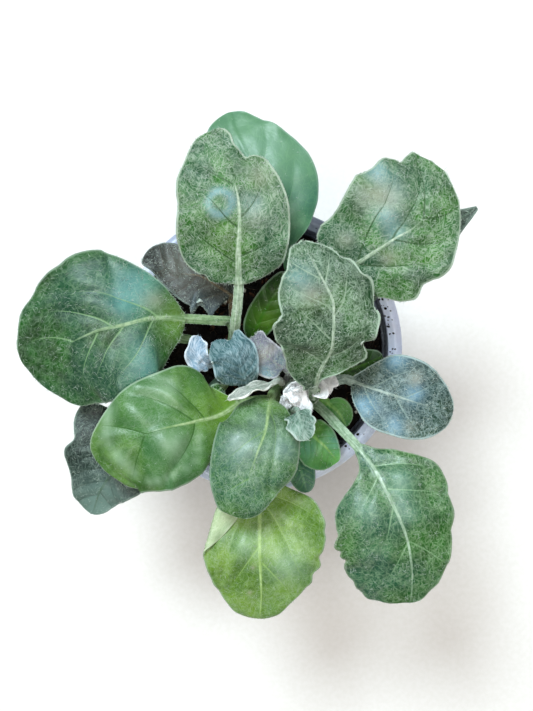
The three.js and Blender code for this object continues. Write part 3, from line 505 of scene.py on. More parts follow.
        puckers=[(0.48, 18.5, 5, 1.2), (0.44, 8.5, 5, 1.1), (0.6, 11, 5, 1), (0.13, 8.5, 4, 0.7),
                 (0.3, -11, 6, 0.8)],
        patches=[(2, 0.5, 16, 6, 0.55), (0, 0.42, 1.5, 3.5, 0.45), (2, 0.28, -4.5, 3, 0.45),
                 (0, 0.44, 8.5, 4.5, 0.5), (0, 0.57, 11.5, 5, 0.3), (2, 0.57, 11.5, 5, 0.25),
                 (2, 0.15, 9, 3, 0.4), (0, 0.64, 21.5, 5.5, 0.6)],
    ),
    "leaf_northeast_pointed": dict(
        spine=[*foot("right", 58, 86), (26, 2, 99), (38, 16, 105), (47, 26, 109), (54, 32, 111),
               (62, 38.5, 112), (69, 44.5, 112), (76, 49, 112)],
        blade=4, fold=0.15, look="grey", slot="felted_leaf", hairs=(400, 200, 1.5),
        left=[2.5, 4.5, 6, 6.5, 5, 2.5, 1],
        right=[2.5, 4.5, 6, 6.5, 4.5, 2.8, 1.2],
    ),
    "leaf_centre_felted": dict(
        spine=[*foot("right", -10, 106, 0.8), (18.5, -18, 117), (18.5, -14.5, 129), (19.5, -8.5, 137.5),
               (23, -1, 144), (23.5, 4.5, 148), (23.5, 10.5, 150), (23, 15, 151), (19.5, 22, 151),
               (16, 28.5, 150), (14, 33.5, 148)],
        blade=3, stalk=(1.6, 1.9), cup=2, wave=(1.8, 3.4), steady=0.4, look="paleVeins", slot="felted_leaf",
        hairs=(900, 1000, 1.3), hairWidth=0.09, midrib=(0.8, 0.3, 0.9), stalkRib=0.3,
        left=[4, 4.5, 9.5, 13, 16.5, 19, 17, 15.2, 10.8, 6.3, 4.5],
        right=[1, 1, 2, 8, 12, 13.8, 13.5, 12, 9, 6.5, 2.5],
        nicks=[(0.39, -12.2, 1.6, 3.5), (0.34, -12, 1.8, -1), (0.61, -14.2, 1.8, 1.2),
               (0.68, -13.8, 1.8, -1.2), (0.745, -13, 1.6, 1.1), (0.81, -11.3, 1.8, -0.8),
               (0.86, -9.8, 1.5, 1), (0.54, -14.5, 2, -0.8), (0.6, 17.5, 2, 1.2), (0.54, 19.5, 2, -0.5),
               (0.89, 8.5, 2, 1), (0.22, 13.5, 1.8, 0.8)],
        sideVeins=[(-1, 0.3, 55, 15, 10), (-1, 0.55, 35, 5, 9), (-1, 0.74, 40, 10, 7),
                   (1, 0.25, 65, 10, 14), (1, 0.42, 50, 15, 14), (1, 0.58, 48, 15, 12),
                   (1, 0.76, 40, 10, 8)],
        puckers=[(0.82, 6, 5, 0.9), (0.7, 6, 4, 0.8), (0.4, 9, 6, 1), (0.55, -8, 5, 0.8)],
        patches=[(0, 0.81, 6.5, 5, 0.5), (2, 0.7, 5.5, 4, 0.45)],
    ),
    "leaf_northwest_dusky": dict(
        spine=[*foot("left", 84, 89, 1), (-9, 7, 100), (-9.5, 13, 105), (-10, 18, 108.5),
               (-15.5, 22, 111.5), (-21, 25, 113), (-29.5, 26.5, 112.5), (-41, 32.5, 108)],
        blade=4, fold=0.05, wave=(1, 3), look="dusky", slot="felted_leaf", hairs=(600, 400, 1.3),
        hairWidth=0.07, midrib=(0.6, 0.25, 0.55),
        left=[7.5, 10.3, 9.8, 12.3, 11.5, 10, 6.5, 4.8, 3.5, 3, 2.5],
        right=[1.5, 3, 4.5, 6.5, 8.5, 9.5, 9.5, 9, 7.5, 5.5, 3],
        nicks=[(0.2, 10, 1.5, 4), (0.27, 12.5, 2, -0.8), (0.07, 10, 1.6, -0.8)],
        patches=[(0, 0.3, 10, 4.5, 0.5), (0, 0.08, 8, 3.5, 0.4), (2, 0.6, -4, 8, 0.25),
                 (2, 0.25, 0, 4, 0.2)],
    ),
    "leaf_southwest_lobed": dict(
        spine=[*foot("left", 215, 89), (-28, -24, 100), (-39, -32.5, 105), (-46, -38, 108), (-51, -43, 109),
               (-56.5, -50.5, 107), (-60, -59.5, 103)],
        blade=3, wave=(1.2, 3), look="grey", slot="felted_leaf", hairs=(450, 450, 1.5), hairWidth=0.06,
        left=[2.5, 7.5, 9.5, 11, 12.5, 12, 10, 8.5, 6.5, 4, 2],
        right=[4.5, 14, 18, 24.5, 22.5, 18.5, 17, 11, 8.5, 5.5, 3],
        nicks=[(0.47, -20, 2, 1.6), (0.36, -24, 2.2, -0.8), (0.28, -22.5, 1.6, 0.9), (0.58, -18, 2, -0.7)],
        patches=[(0, 0.92, 0, 9, 0.6), (0, 0.7, 4, 7, 0.3)],
    ),
    "leaf_inner_north": dict(
        spine=[*foot("left", 15, 94, 1), (-3, 2.5, 106), (0.5, 10.5, 111), (5.5, 19, 114), (10, 26, 114)],
        blade=2, cup=-1, look="deep", hairs=(60, 60, 1.0),
        left=[2.5, 4.5, 5.5, 5.5, 5, 4, 2.5],
        right=[2.5, 4.5, 5.5, 6, 5.5, 4.5, 2.5],
        patches=[(1, 0.35, -2, 6, 0.3), (1, 0.7, -3, 4.5, 0.15)],
    ),
    "leaf_inner_south": dict(
        spine=[*foot("right", 285, 91, 1), (15.5, -27.5, 97), (19, -31.5, 101.5), (23, -35, 103.5),
               (28, -41, 101)],
        blade=2, cup=-2, look="inner", hairs=(120, 100, 1.2),
        left=[4, 5.5, 6.5, 6.5, 5, 3.5, 2],
        right=[4, 7, 9, 10, 10, 8.5, 5.5],
        patches=[(1, 0.3, 2, 4, 0.5), (0, 0.7, 4, 4, 0.35), (0, 0.45, -5, 4, 0.3)],
    ),
    "leaf_inner_south_low": dict(
        spine=[*foot("right", 262, 84.5, 1), (12, -29, 89), (13, -38, 93.5), (15, -45, 96.5),
               (17, -52.5, 97)],
        blade=3, cup=-0.5, look="blue", hairs=(60, 60, 1.0),
        left=[2.5, 4, 5, 5, 4.5, 3.5, 2],
        right=[2.5, 4, 5, 5, 4.5, 3.5, 2],
    ),
    "leaf_inner_southeast": dict(
        spine=[*foot("right", -24, 86, 1), (21.5, -18.5, 95), (24.5, -20, 96.5), (28.5, -23.5, 98),
               (31.5, -28.5, 97)],
        blade=3, cup=-0.5, look="inner", hairs=(60, 60, 1.0),
        left=[2.5, 4, 5, 5, 4.5, 3.5, 2],
        right=[2.5, 4, 5, 5, 4.5, 3.5, 2],
    ),
    "leaf_inner_east": dict(
        spine=[*foot("right", 20, 91, 1), (22, -10.5, 93), (26.5, -9, 95.5), (35, -7, 98), (44.5, -3, 97)],
        blade=3, cup=-0.5, look="deep", hairs=(60, 60, 1.0),
        left=[2.5, 4, 5.5, 6, 5.5, 4, 2.5],
        right=[2.5, 4, 5.5, 6, 5.5, 4, 2.5],
    ),
    "leaf_west_hidden": dict(
        spine=[*foot("left", 160, 89), (-23.5, 2, 98), (-28.5, 3.5, 101.5), (-34, 5.5, 104.5),
               (-45, 8, 107), (-56, 8, 107), (-65, 5.5, 105)],
        blade=4, cup=-1, look="green", hairs=(200, 150, 1.4),
        left=[3, 6, 9, 11, 10, 7.5, 4],
        right=[3, 6, 9, 11, 10, 7.5, 4],
    ),
}
youngLeaves = {
    "young_leaf_mauve": dict(
        spine=[*foot("right", 122, 107, 0.8), (10, -9, 115), (8.5, -7, 118), (5, -5, 120), (1, -1, 120.5),
               (-2, 4, 118.5)],
        blade=3, wave=(0.7, 2), look="mauve", slot="felted_leaf",
        left=[3, 5, 6.5, 7, 6, 4.5, 3],
        right=[2.5, 4, 5, 5, 4.5, 4, 2.5],
        nicks=[(0.86, -5, 1.4, 1.4), (0.97, -2.8, 2, -1.2)],
        patches=[(2, 0.55, 0, 2.2, 0.6), (2, 0.52, -3.5, 2.2, 0.5), (2, 0.57, 3, 1.8, 0.5),
                 (0, 0.3, 5, 3, 0.6), (0, 0.15, -2, 3, 0.4)],
    ),
    "young_leaf_silver": dict(
        spine=[*foot("left", -58, 104, 0.8), (-5, -13.5, 113), (-4.5, -12.5, 119), (-5.5, -8.5, 125.5),
               (-7.5, -1.5, 128.5), (-11, 4, 126)],
        blade=3, cup=-1.5, wave=(0.6, 2.4), look="youngSilver", slot="silver_leaf", hairs=(160, 380, 1.3),
        hairWidth=0.045,
        left=[7, 8.6, 9.5, 9.5, 9.4, 9.4, 8],
        right=[4, 4.6, 5.3, 6.2, 6.3, 5, 4],
        nicks=[(1, -0.3, 1.7, 2), (0.97, 4.6, 2.4, -1.8), (0.93, -3.6, 1.8, -0.8)],
    ),
    "young_leaf_curled": dict(
        spine=[*foot("left", 160, 98, 0.8), (-16.5, -6, 107), (-18, -6, 113), (-20, -4.5, 117.5),
               (-21.5, -1, 119.5), (-20.5, 4, 119)],
        blade=3, fold=0.5, wave=(0.9, 3), crumple=2.6, look="white", slot="silver_leaf",
        hairs=(260, 300, 1.1), hairWidth=0.05,
        left=[2, 3, 4, 4.5, 4, 3, 2],
        right=[2, 3, 3.5, 4, 3.5, 3, 2],
        nicks=[(0.75, 4, 1.3, 1.2), (0.5, -4, 1.3, 1), (0.2, 4, 1.2, 0.9), (0.95, -1.5, 1.2, 1)],
        puckers=[(0.27, 0.3, 1.5, -1.6), (0.6, 2.5, 1.5, 0.8)],
    ),
    "young_leaf_edge": dict(
        spine=[*foot("right", 146, 109, 0.8), (6.5, -11, 118.5), (3.5, -12, 125), (-1.5, -13.5, 128.5),
               (-6, -15.5, 130), (-10.5, -17.5, 129.5)],
        blade=3, fold=0.2, wave=(0.5, 2), roll=(60, 62), look="creamy", slot="silver_leaf",
        left=[1.5, 2.5, 3, 3, 3, 2, 1.5],
        right=[1.5, 2.5, 3, 3, 3, 2, 1.5],
    ),
    "young_leaf_lobed": dict(
        spine=[*foot("right", 262, 105, 0.8), (12, -22.5, 115), (12, -21.5, 124), (12.5, -21.5, 130),
               (13.5, -24, 134), (14.5, -27, 135.5), (16.5, -30, 135.5)],
        blade=4, wave=(0.5, 2), look="youngGreen", slot="felted_leaf", hairs=(160, 160, 1.2),
        hairWidth=0.055,
        left=[3, 4.5, 4, 5, 4, 3.5, 2],
        right=[2.5, 5, 4, 5.5, 4, 3.5, 2],
    ),
    "young_leaf_green": dict(
        spine=[*foot("left", 240, 99, 0.8), (-13, -14, 106), (-13.5, -14, 109.5), (-15, -15.5, 111.5),
               (-17.5, -18, 111)],
        blade=3, fold=0.2, look="bright", hairs=(80, 80, 1.0),
        left=[1.5, 2, 2.5, 3, 2.5, 2, 1.5],
        right=[1.5, 2, 2.5, 3, 2.5, 2, 1.5],
    ),
}


tissue = dict(  # mm: the blade's own relief, the same on every leaf
    veinReach=3.2, veinWidth=0.32, grooveDepth=0.25, grooveWidth=0.9, ridge=0.3, ridgeWidth=0.9,
    lumps=[(8, 0.35), (3, 0.07)], marginLumps=(3.6, 0.4),  # size and height of each
    edge=3, ribDepth=1.2, ribTaper=0.85, stalkCrown=0.45, stalkChannel=0.25, seam=0.25, waveShift=0.31)
curveSteps = 400  # steps between two points of a spine
tipWidth = 0.5  # half-width of a blade's very tip


def curveThrough(points):  # smooth line through the points: places, directions and lengths at dense steps
    points = np.array(points, float)
    points = np.vstack([2 * points[0] - points[1], points, 2 * points[-1] - points[-2]])
    pieces = len(points) - 3
    at = np.linspace(0, pieces, curveSteps * pieces + 1)
    i = np.minimum(at.astype(int), pieces - 1)
    places = hermite([points[i + k] for k in range(4)], (at - i)[:, None])
    steps = np.linalg.norm(np.diff(places, axis=0), axis=1)
    return places, unit(np.gradient(places, axis=0)), np.concatenate([[0], np.cumsum(steps)])


def smooth(values, share):  # smooth curve through evenly spaced values, read at share 0 to 1
    values = np.array(values, float)
    last = len(values) - 1
    at = np.minimum(share * last, last - 1e-9)
    i = at.astype(int)
    return hermite([values[np.clip(i + k, 0, last)] for k in (-1, 0, 1, 2)], at - i)


def hermite(four, f):  # between the middle two of four neighbours
    p0, p1, p2, p3 = four
    slope1, slope2 = (p2 - p0) / 2, (p3 - p1) / 2
    bend, twist = 3 * (p2 - p1) - 2 * slope1 - slope2, 2 * (p1 - p2) + slope1 + slope2
    return p1 + f * (slope1 + f * (bend + f * twist))


evenVeins = dict(starts=(0.08, 0.24, 0.4, 0.56, 0.72), rightLater=0.04, angle=52, bend=14)


def sideVeinsOf(leaf):  # pairs of side veins for a leaf that lists none
    if leaf["sideVeins"] is not None:
        return leaf["sideVeins"]
    form = SimpleNamespace(**evenVeins)
    sides = ((1, 0, max(leaf["left"])), (-1, form.rightLater, max(leaf["right"])))
    return [(side, start + later, form.angle, form.bend, widest)
            for start in form.starts for side, later, widest in sides]


# The distance to the nearest side vein, with a sign that changes only across a vein, and its half-width.
def veinField(leaf, across, along, length):
    signed = np.full(across.shape, 9.0)  # far from any vein
    width = np.zeros(across.shape)
    for side in (1, -1):
        veins = sorted(vein for vein in sideVeinsOf(leaf) if vein[0] == side)
        if not veins:
            continue
        here = across * side >= 0
        out = np.abs(across[here])
        lines = []
        for _, begin, angle, bend, reach in veins:
            climb = 1 / math.tan(math.radians(angle))
            curve = (1 / math.tan(math.radians(max(angle - bend, 8))) - climb) / (2 * max(reach, 1))
            slope = math.sin(math.radians(angle - bend / 2))
            lines.append((begin * length + out * climb + curve * out**2, slope, reach))
        away = np.stack([(along[here] - line) * slope for line, slope, _ in lines])
        nearest = np.abs(away).argmin(0)
        below = (away > 0).sum(0)
        distance = np.abs(away).min(0)
        signed[here] = np.where(below % 2 == 0, distance, -distance)
        reaches = np.array([reach for _, _, reach in lines])[nearest]
        width[here] = tissue["veinWidth"] * np.clip(1.2 - out / reaches, 0, 1)
    return signed, width


# Where a leaf's rows and columns lie. `turn` is -1 to 0 along the stalk and 0 to 1 along the blade, where
# the rows crowd together at both ends. `t` is the share of the blade's length. `reach` is 1 at the margins.
def leafGrid(leaf):
    places, directions, lengths = curveThrough(leaf["spine"])
    total = lengths[-1]
    begins = curveSteps * leaf["blade"]
    start = lengths[begins] / total
    grid = SimpleNamespace(length=(1 - start) * total, widest=max(*leaf["left"], *leaf["right"]))
    grid.columns = 2 * int(math.ceil(grid.widest / leaf["grid"])) + 1
    bladeRows = int(grid.length * 1.25 / leaf["grid"])  # closer than the columns
    stalkRows = max(4, int(start * total / (1.6 * leaf["grid"])))  # wider apart
    turn = np.concatenate([np.arange(stalkRows) / stalkRows - 1, np.linspace(0, 1, bladeRows + 1)])[:, None]
    t = np.where(turn > 0, (1 - np.cos(turn * math.pi)) / 2, 0)
    share = np.where(turn < 0, start * (1 + turn), start + (1 - start) * t)[:, 0]
    grid.centre = np.stack([np.interp(share * total, lengths, places[:, k]) for k in range(3)], 1)[:, None]
    ahead = np.stack([np.interp(share * total, lengths, directions[:, k]) for k in range(3)], 1)
    ahead = unit(ahead)[:, None]
    stalkShare = 1 + np.minimum(turn, 0)
    chord = unit(places[-1] - places[begins])
    grid.ahead = unit(ahead + (chord - ahead) * leaf["steady"] * stalkShare[..., None])
    first, last = leaf["roll"]
    roll = np.radians(stalkShare * (first + (last - first) * t))[..., None]
    normal = unit(up - grid.ahead * grid.ahead[..., 2:])
    grid.normal = normal * np.cos(roll) + np.cross(grid.ahead, normal) * np.sin(roll)
    grid.left = np.cross(grid.normal, grid.ahead)
    first, last = leaf["stalk"]
    grid.stalk = first + (last - first) * stalkShare

    s = np.linspace(1, -1, grid.columns)[None, :]
    grid.side = np.where(s < 0, -1, 1)
    grid.reach = np.abs(s)
    widths = [[last, *leaf[key], tipWidth] for key in ("left", "right")]
    halves = [np.maximum(smooth(values, np.maximum(turn, 0)), tipWidth) for values in widths]
    grid.half = np.where(turn < 0, grid.stalk, np.where(grid.side > 0, *halves))
    grid.flat = grid.reach * grid.half
    grid.across = grid.side * grid.flat
    grid.along = np.broadcast_to((share[:, None] - start) * total, grid.across.shape)
    grid.edge = (1 - grid.reach) * grid.half
    grid.blade = np.clip(t / 0.04, 0, 1)  # 0 on the stalk, 1 on the blade
    grid.turn, grid.t = turn, t
    return grid


def awayFrom(grid, place, across, radius):  # distance to a spot on the blade, in its radii
    return np.hypot(grid.across - across, grid.along - place * grid.length) / radius


def heightOf(leaf, grid, signed, veinWidth, seed):  # how far the face stands over the midrib's line
    side, reach, t = grid.side, grid.reach, grid.t
    waveHeight, waves = leaf["wave"]
    waved = waveHeight * reach**2 * np.sin(2 * math.pi * (waves * t + tissue["waveShift"] * side))
    waved = waved * np.sqrt(np.sin(math.pi * t))
    height = leaf["cup"] * (grid.flat / grid.widest) ** 2 + leaf["fold"] * grid.flat + waved
    height = np.where(grid.turn < 0, 0, height)
    spot = np.stack([grid.across, grid.along], -1)
    inner = np.clip(grid.edge / tissue["edge"], 0, 1)
    veinAway = np.minimum(np.abs(signed), np.abs(grid.across) * 0.8)
    relief = leaf["bulge"] * (1 - np.exp(-((veinAway / tissue["veinReach"]) ** 2))) * (0.35 + 0.65 * inner)
    groove = np.exp(-((np.abs(signed) / tissue["grooveWidth"]) ** 2)) * (veinWidth > 0.05)
    relief = relief - tissue["grooveDepth"] * groove
    relief = relief + tissue["ridge"] * np.exp(-((grid.across / tissue["ridgeWidth"]) ** 2))
    uneven = sum(rise * ripples(spot, size, seed + k) for k, (size, rise) in enumerate(tissue["lumps"]))
    relief = relief + leaf["crumple"] * uneven
    size, rise = tissue["marginLumps"]
    relief = relief + rise * leaf["crumple"] * reach**6 * ripples(spot, size, seed + 2)
    for place, across, radius, rise in leaf["puckers"]:
        relief = relief + rise * np.exp(-(awayFrom(grid, place, across, radius) ** 2))
    return height + relief * grid.blade * np.clip(grid.half / 6, 0.1, 1)


def pullOf(leaf, grid):  # how far notches draw the blade to its middle, and lobes away: across and along
    pull = np.zeros(grid.across.shape + (2,))
    for place, across, radius, depth in leaf["nicks"]:
        middle = np.array([0.0, 0.5 * grid.length])
        inward = unit(middle - np.array([across, place * grid.length]))
        pulled = depth * np.exp(-(awayFrom(grid, place, across, radius) ** 2)) * (grid.turn >= 0)
        pull = pull + pulled[..., None] * inward
    return pull


def curled(leaf, grid, height):  # distance from the midrib and height, with one margin folded back
    side, fromBase, fromTip, radius = leaf["curl"]
    over = grid.flat - (fromBase + (fromTip - fromBase) * grid.t)
    bend = np.clip(over / radius, 0, math.pi)
    folded = (over > 0) & (grid.side == side)
    back = grid.flat - over + radius * np.sin(bend) - (over - bend * radius)
    return np.where(folded, back, grid.flat), height + np.where(folded, radius * (1 - np.cos(bend)), 0)


def aroundBody(value, rimValue=None):  # what the face says, carried round the rim and the underside
    first, last = value[:, :1], value[:, -1:]
    if rimValue is not None:
        first, last = np.full_like(first, rimValue), np.full_like(last, rimValue)
    return np.concatenate([value, last, value[:, ::-1], first], axis=1)


def bodyFaces(rows, columns):  # faces of the rings and of both ends, and which of them are the underside
    size = 2 * columns + 2
    corner = np.arange(rows * size).reshape(rows, size)
    after = np.roll(corner, -1, axis=1)
    quads = np.stack([corner[:-1], after[:-1], after[1:], corner[1:]], -1)
    under = np.zeros(quads.shape[:2], int)
    under[:, columns + 1 : 2 * columns] = 1
    c = np.arange(columns - 1)
    caps, ends = [], []
    for ring, step in ((corner[0], -1), (corner[-1], 1)):
        cap = np.stack([ring[c], ring[c + 1], ring[2 * columns - c - 1], ring[2 * columns - c]], -1)
        right = [ring[columns - 1], ring[columns], ring[columns + 1]]
        left = [ring[2 * columns + 1], ring[0], ring[2 * columns]]
        caps.append(cap[:, ::step])
        ends.append(np.array([right, left])[:, ::step])
    under = np.concatenate([under.ravel(), np.zeros(2 * (columns - 1) + 4, int)])
    return [quads.reshape(-1, 4), *caps, *ends], under


def tissueValues(leaf, grid, signed, veinWidth, seed):  # what the leaf materials read
    wide, narrow, end = leaf["midrib"]
    turn, t = grid.turn, grid.t
    midrib = wide + (narrow - wide) * np.minimum(t / end, 1)
    midrib = midrib * np.clip((end + 0.06 - t) / 0.06, 0, 1)
    midrib = midrib * np.where(t < 0.03, 1 + 2 * (1 - t / 0.03), 1)
    midrib = np.where(turn < 0, leaf["stalkRib"] * grid.stalk, midrib)
    tint = np.zeros(grid.across.shape + (3,))
    for kind, place, across, radius, strength in leaf["patches"]:
        spot = strength * np.exp(-(awayFrom(grid, place, across, radius) ** 2))
        tint[..., kind] = np.clip(tint[..., kind] + spot, 0, 1)
    across, along = aroundBody(grid.across), aroundBody(grid.along)
    veins = [signed, veinWidth, np.broadcast_to(midrib, signed.shape)]
    return {
        "leafPlace": np.stack([across, along, np.full(across.shape, 17.0 * seed)], -1).reshape(-1, 3),
        "veins": np.stack([aroundBody(value) for value in veins], -1).reshape(-1, 3),
        "edge": aroundBody(np.where(turn < 0, 2.0, grid.edge), 0.0).ravel(),
        "patch": np.stack([aroundBody(tint[..., k]) for k in range(3)], -1).reshape(-1, 3),
    }


# Points, faces and material values of one leaf. Rings of points run round the body, from foot to tip.
def leafBody(leaf, seed):
    grid = leafGrid(leaf)
    turn, t, stalk = grid.turn, grid.t, grid.stalk
    signed, veinWidth = veinField(leaf, grid.across, grid.along, grid.length)
    veinWidth = veinWidth * grid.blade
    out, height = grid.flat, heightOf(leaf, grid, signed, veinWidth, seed)
    if leaf["curl"]:
        out, height = curled(leaf, grid, height)
    pull = pullOf(leaf, grid)

    ribDepth = stalk * tissue["ribDepth"] * (1 - tissue["ribTaper"] * t)
    rib = ribDepth * np.sqrt(np.maximum(0, 1 - (np.minimum(grid.flat, stalk) / stalk) ** 2))
    crown = tissue["stalkCrown"] * grid.reach**2  # a stalk is round on top, with a shallow channel
    channel = tissue["stalkChannel"] * (1 - grid.reach**2) ** 6
    sideways, forward = grid.side * out + pull[..., 0], pull[..., 1]
    rise = height - (1 - grid.blade) * (crown - channel)
    top = (grid.centre + grid.left * sideways[..., None] + grid.ahead * forward[..., None]
           + grid.normal * rise[..., None])
    facing = unit(np.cross(np.gradient(top, axis=1), np.gradient(top, axis=0)))
    outward = grid.left * np.array([1.0, -1.0])[None, :, None]
    if leaf["curl"]:
        outward = unit(top[:, [0, -1]] - top[:, [1, -2]])
    else:
        facing = unit(facing + 0.5 * grid.normal)
    bottom = top - facing * (leaf["thickness"] + rib)[..., None]
    seam = np.minimum(tissue["seam"], grid.half[:, [0, -1]] * 0.3)  # how far the rounded margin stands out
    rim = top[:, [0, -1]] - facing[:, [0, -1]] * (leaf["thickness"] / 2) + outward * seam[..., None] * 0.6
    rings = np.concatenate([top, rim[:, 1:], bottom[:, ::-1], rim[:, :1]], axis=1)
    faces, under = bodyFaces(len(rings), grid.columns)
    surface = SimpleNamespace(top=top, facing=facing, left=grid.left, ahead=grid.ahead, outward=outward,
                              turn=turn, edge=grid.edge, across=grid.across)
    return rings.reshape(-1, 3), faces, under, tissueValues(leaf, grid, signed, veinWidth, seed), surface


hairForm = dict(rooted=0.05, climb=(1.0, 0.2, -0.6), taper=(1, 0.85, 0.55))  # for each third of a hair


# Curly hairs that lie low: three-sided, tapered to a point. Drawn thicker than real ones, which are 0.02 mm.
def hairMesh(name, roots, directions, normals, lengths, radius, seed, curl=1.6, lift=0.35):
    chance = np.random.default_rng(seed)
    count = len(roots)
    bend = chance.normal(0, curl, count)
    rise = chance.uniform(0.1, 1, count) * lift
    centres = [roots - normals * hairForm["rooted"]]
    points = []
    for step in range(3):
        turn = (bend * (step - 0.5) / 2)[:, None]
        heading = directions * np.cos(turn) + np.cross(normals, directions) * np.sin(turn)
        heading = unit(heading + normals * (rise * hairForm["climb"][step])[:, None])
        centres.append(centres[-1] + heading * (lengths / 3)[:, None])
        sideways = unit(np.cross(heading, normals))
        above = np.cross(sideways, heading)
        for angle in map(math.radians, (90, 210, 330)):
            spoke = math.cos(angle) * sideways + math.sin(angle) * above
            points.append(centres[step] + radius * hairForm["taper"][step] * spoke)
    points.append(centres[3])
    points = np.stack(points, 1)
    pairs = [(i, (i + 1) % 3) for i in range(3)]
    quads = [[3 * k + a, 3 * k + b, 3 * k + 3 + b, 3 * k + 3 + a] for k in range(2) for a, b in pairs]
    triangles = [[6 + a, 6 + b, 9] for a, b in pairs] + [[2, 1, 0]]
    first = (np.arange(count) * 10)[:, None, None]
    faces = [(first + np.array(part)[None]).reshape(-1, len(part[0])) for part in (quads, triangles)]
    return meshOf(name, points.reshape(-1, 3), faces)


hairSpread = dict(  # extra density and its reach in mm, clumps in mm, and shares of a hair's length
    margin=(1.2, 1.5), midrib=(0.6, 1.5), clumps=4, onStalk=0.5, ahead=0.8, turnBack=1.4, lengths=(0.5, 1.4),
    fringe=0.5, fringeLean=(-0.2, 0.3), fringeLengths=(0.3, 1.1))


def faceHairs(surface, count, length, chance, seed):  # over the face, denser at the midrib and the margins
    top, facing, edge = surface.top, surface.facing, surface.edge
    form = SimpleNamespace(**hairSpread)
    cells = np.linalg.norm(np.cross(top[1:, :-1] - top[:-1, :-1], top[:-1, 1:] - top[:-1, :-1]), axis=-1)
    atMargin = form.margin[0] * np.exp(-edge / form.margin[1])
    atMidrib = form.midrib[0] * np.exp(-((surface.across / form.midrib[1]) ** 2))
    weight = (1 + atMargin + atMidrib) * (0.55 + 0.45 * ripples(top, form.clumps, seed)).clip(0.1)
    weight = cells * weight[:-1, :-1] * np.where(surface.turn[:-1] < -0.5, form.onStalk, 1)
    pick = chance.choice(weight.size, count, p=(weight / weight.sum()).ravel())
    row, column = np.divmod(pick, weight.shape[1])
    f, g = chance.uniform(size=(2, count))[..., None]
    roots = ((1 - f) * ((1 - g) * top[row, column] + g * top[row, column + 1])
             + f * ((1 - g) * top[row + 1, column] + g * top[row + 1, column + 1]))
    normals = facing[row, column]
    heading = chance.normal(size=(count, 3)) + form.ahead * surface.ahead[row, 0]
    heading = unit(heading - normals * (heading * normals).sum(1, keepdims=True))
    outwards = surface.left[row, 0] * np.sign(surface.across[row, column])[:, None]
    poking = np.maximum((heading * outwards).sum(1), 0) * (edge[row, column] < length)
    heading = unit(heading - form.turnBack * outwards * poking[:, None])  # hairs turn back from the margin
    return roots, heading, normals, length * chance.uniform(*form.lengths, count)


def fringeHairs(surface, count, length, chance):  # shorter ones that lie along the margins
    rows = np.flatnonzero(surface.turn[:, 0] > -0.6)
    margin = surface.top[:, [0, -1]]
    steps = np.linalg.norm(np.diff(margin[rows], axis=0), axis=-1)
    pick = chance.choice(steps.size, count, p=(steps / steps.sum()).ravel())
    row, which = np.divmod(pick, 2)
    row = rows[row]
    f = chance.uniform(size=(count, 1))
    roots = (1 - f) * margin[row, which] + f * margin[row + 1, which]
    normals = surface.facing[row, np.where(which == 0, 0, surface.facing.shape[1] - 1)]
    outward = np.broadcast_to(surface.outward, (len(surface.top), 2, 3))[row, which]
    lean = outward * chance.uniform(*hairSpread["fringeLean"], (count, 1))
    heading = unit(lean + surface.ahead[row, 0] * chance.choice([-1, 1], (count, 1)))
    lengths = hairSpread["fringe"] * length * chance.uniform(*hairSpread["fringeLengths"], count)
    return roots, heading, unit(normals + 0.001), lengths


def scatterHairs(leaf, surface, seed):  # roots, headings, normals and lengths of a leaf's hairs
    chance = np.random.default_rng(seed)
    faceCount, marginCount, length = leaf["hairs"]
    onFace = faceHairs(surface, faceCount, length, chance, seed + 5)
    onMargin = fringeHairs(surface, marginCount, length, chance)
    return [np.concatenate(pair) for pair in zip(onFace, onMargin)]


for seed, (name, own) in enumerate([*leaves.items(), *youngLeaves.items()], start=3):
    leaf = {**(plainLeaf if name in leaves else youngLeaf), **own}
    points, faces, under, values, surface = leafBody(leaf, seed)
    mesh = meshOf(name + "_blade", points, faces)
    mesh.polygons.foreach_set("material_index", under.astype(np.int32))
    addValues(mesh, values)
    materials = [leafMaterials[leaf["look"]], leafMaterials[leaf["back"]]]
    addPiece(name + "_blade", mesh, materials, name)
    hairs = scatterHairs(leaf, surface, seed + 100)
    mesh = hairMesh(name + "_hairs", *hairs, leaf["hairWidth"], seed + 200)
    hairFinish = hairBlue if leaf["look"] in ("white", "youngSilver") else hairGrey
    addPiece(name + "_hairs", mesh, [hairFinish])
report("leaves")


# Crowns: each stem and the tiny unopened leaves at its top, all under thick wool.
#   tip, width, via   of each tiny leaf, rooted in its stem
#   wool              number of long hairs over the crown, and their length
crowns = {
    "right": dict(look="wool", slot="shoot_felt", wool=(3200, 2.6), tufts=[
        dict(tip=(25.5, -12.5, 120.5), width=3.2, via=(18.5, -10, 116)),
        dict(tip=(16.5, -23, 123), width=1.9),
        dict(tip=(7.5, -20, 122), width=2.4),
        dict(tip=(8.5, -15.5, 122.5), width=2.8),
        dict(tip=(13.5, -11.5, 125), width=3),
        dict(tip=(15, -20.5, 124), width=3.5, via=(12, -14.5, 125)),
        dict(tip=(11, -18.5, 126.5), width=2.6, via=(12, -15.5, 124)),
        dict(tip=(12.5, -14.5, 128), width=2.4),
        dict(tip=(17.2, -21.8, 127), width=2.6, via=(14.5, -19, 122)),
        dict(tip=(24, -15.2, 124), width=3, via=(20.5, -10.5, 118)),
        dict(tip=(22.5, -16.2, 129), width=3.2, via=(17.5, -12.5, 121)),
        dict(tip=(26, -12.5, 126.5), width=2.6, via=(20, -9.5, 119)),
    ]),
    "left": dict(look="youngSilver", slot="shoot_felt", wool=(1200, 2.0), tufts=[
        dict(tip=(-13.5, -5, 117), width=3),
        dict(tip=(-14.5, -10.5, 115), width=3),
    ]),
}
stemEnds = dict(  # points of a stem's profile: mm inside its radius, and over its foot or its top
    foot=[(1, 0), (0.3, 0.3), (0, 1)],
    top=[(0, -6), (0.3, -4), (0.7, -2), (1.3, -0.8), (2.2, 0)])
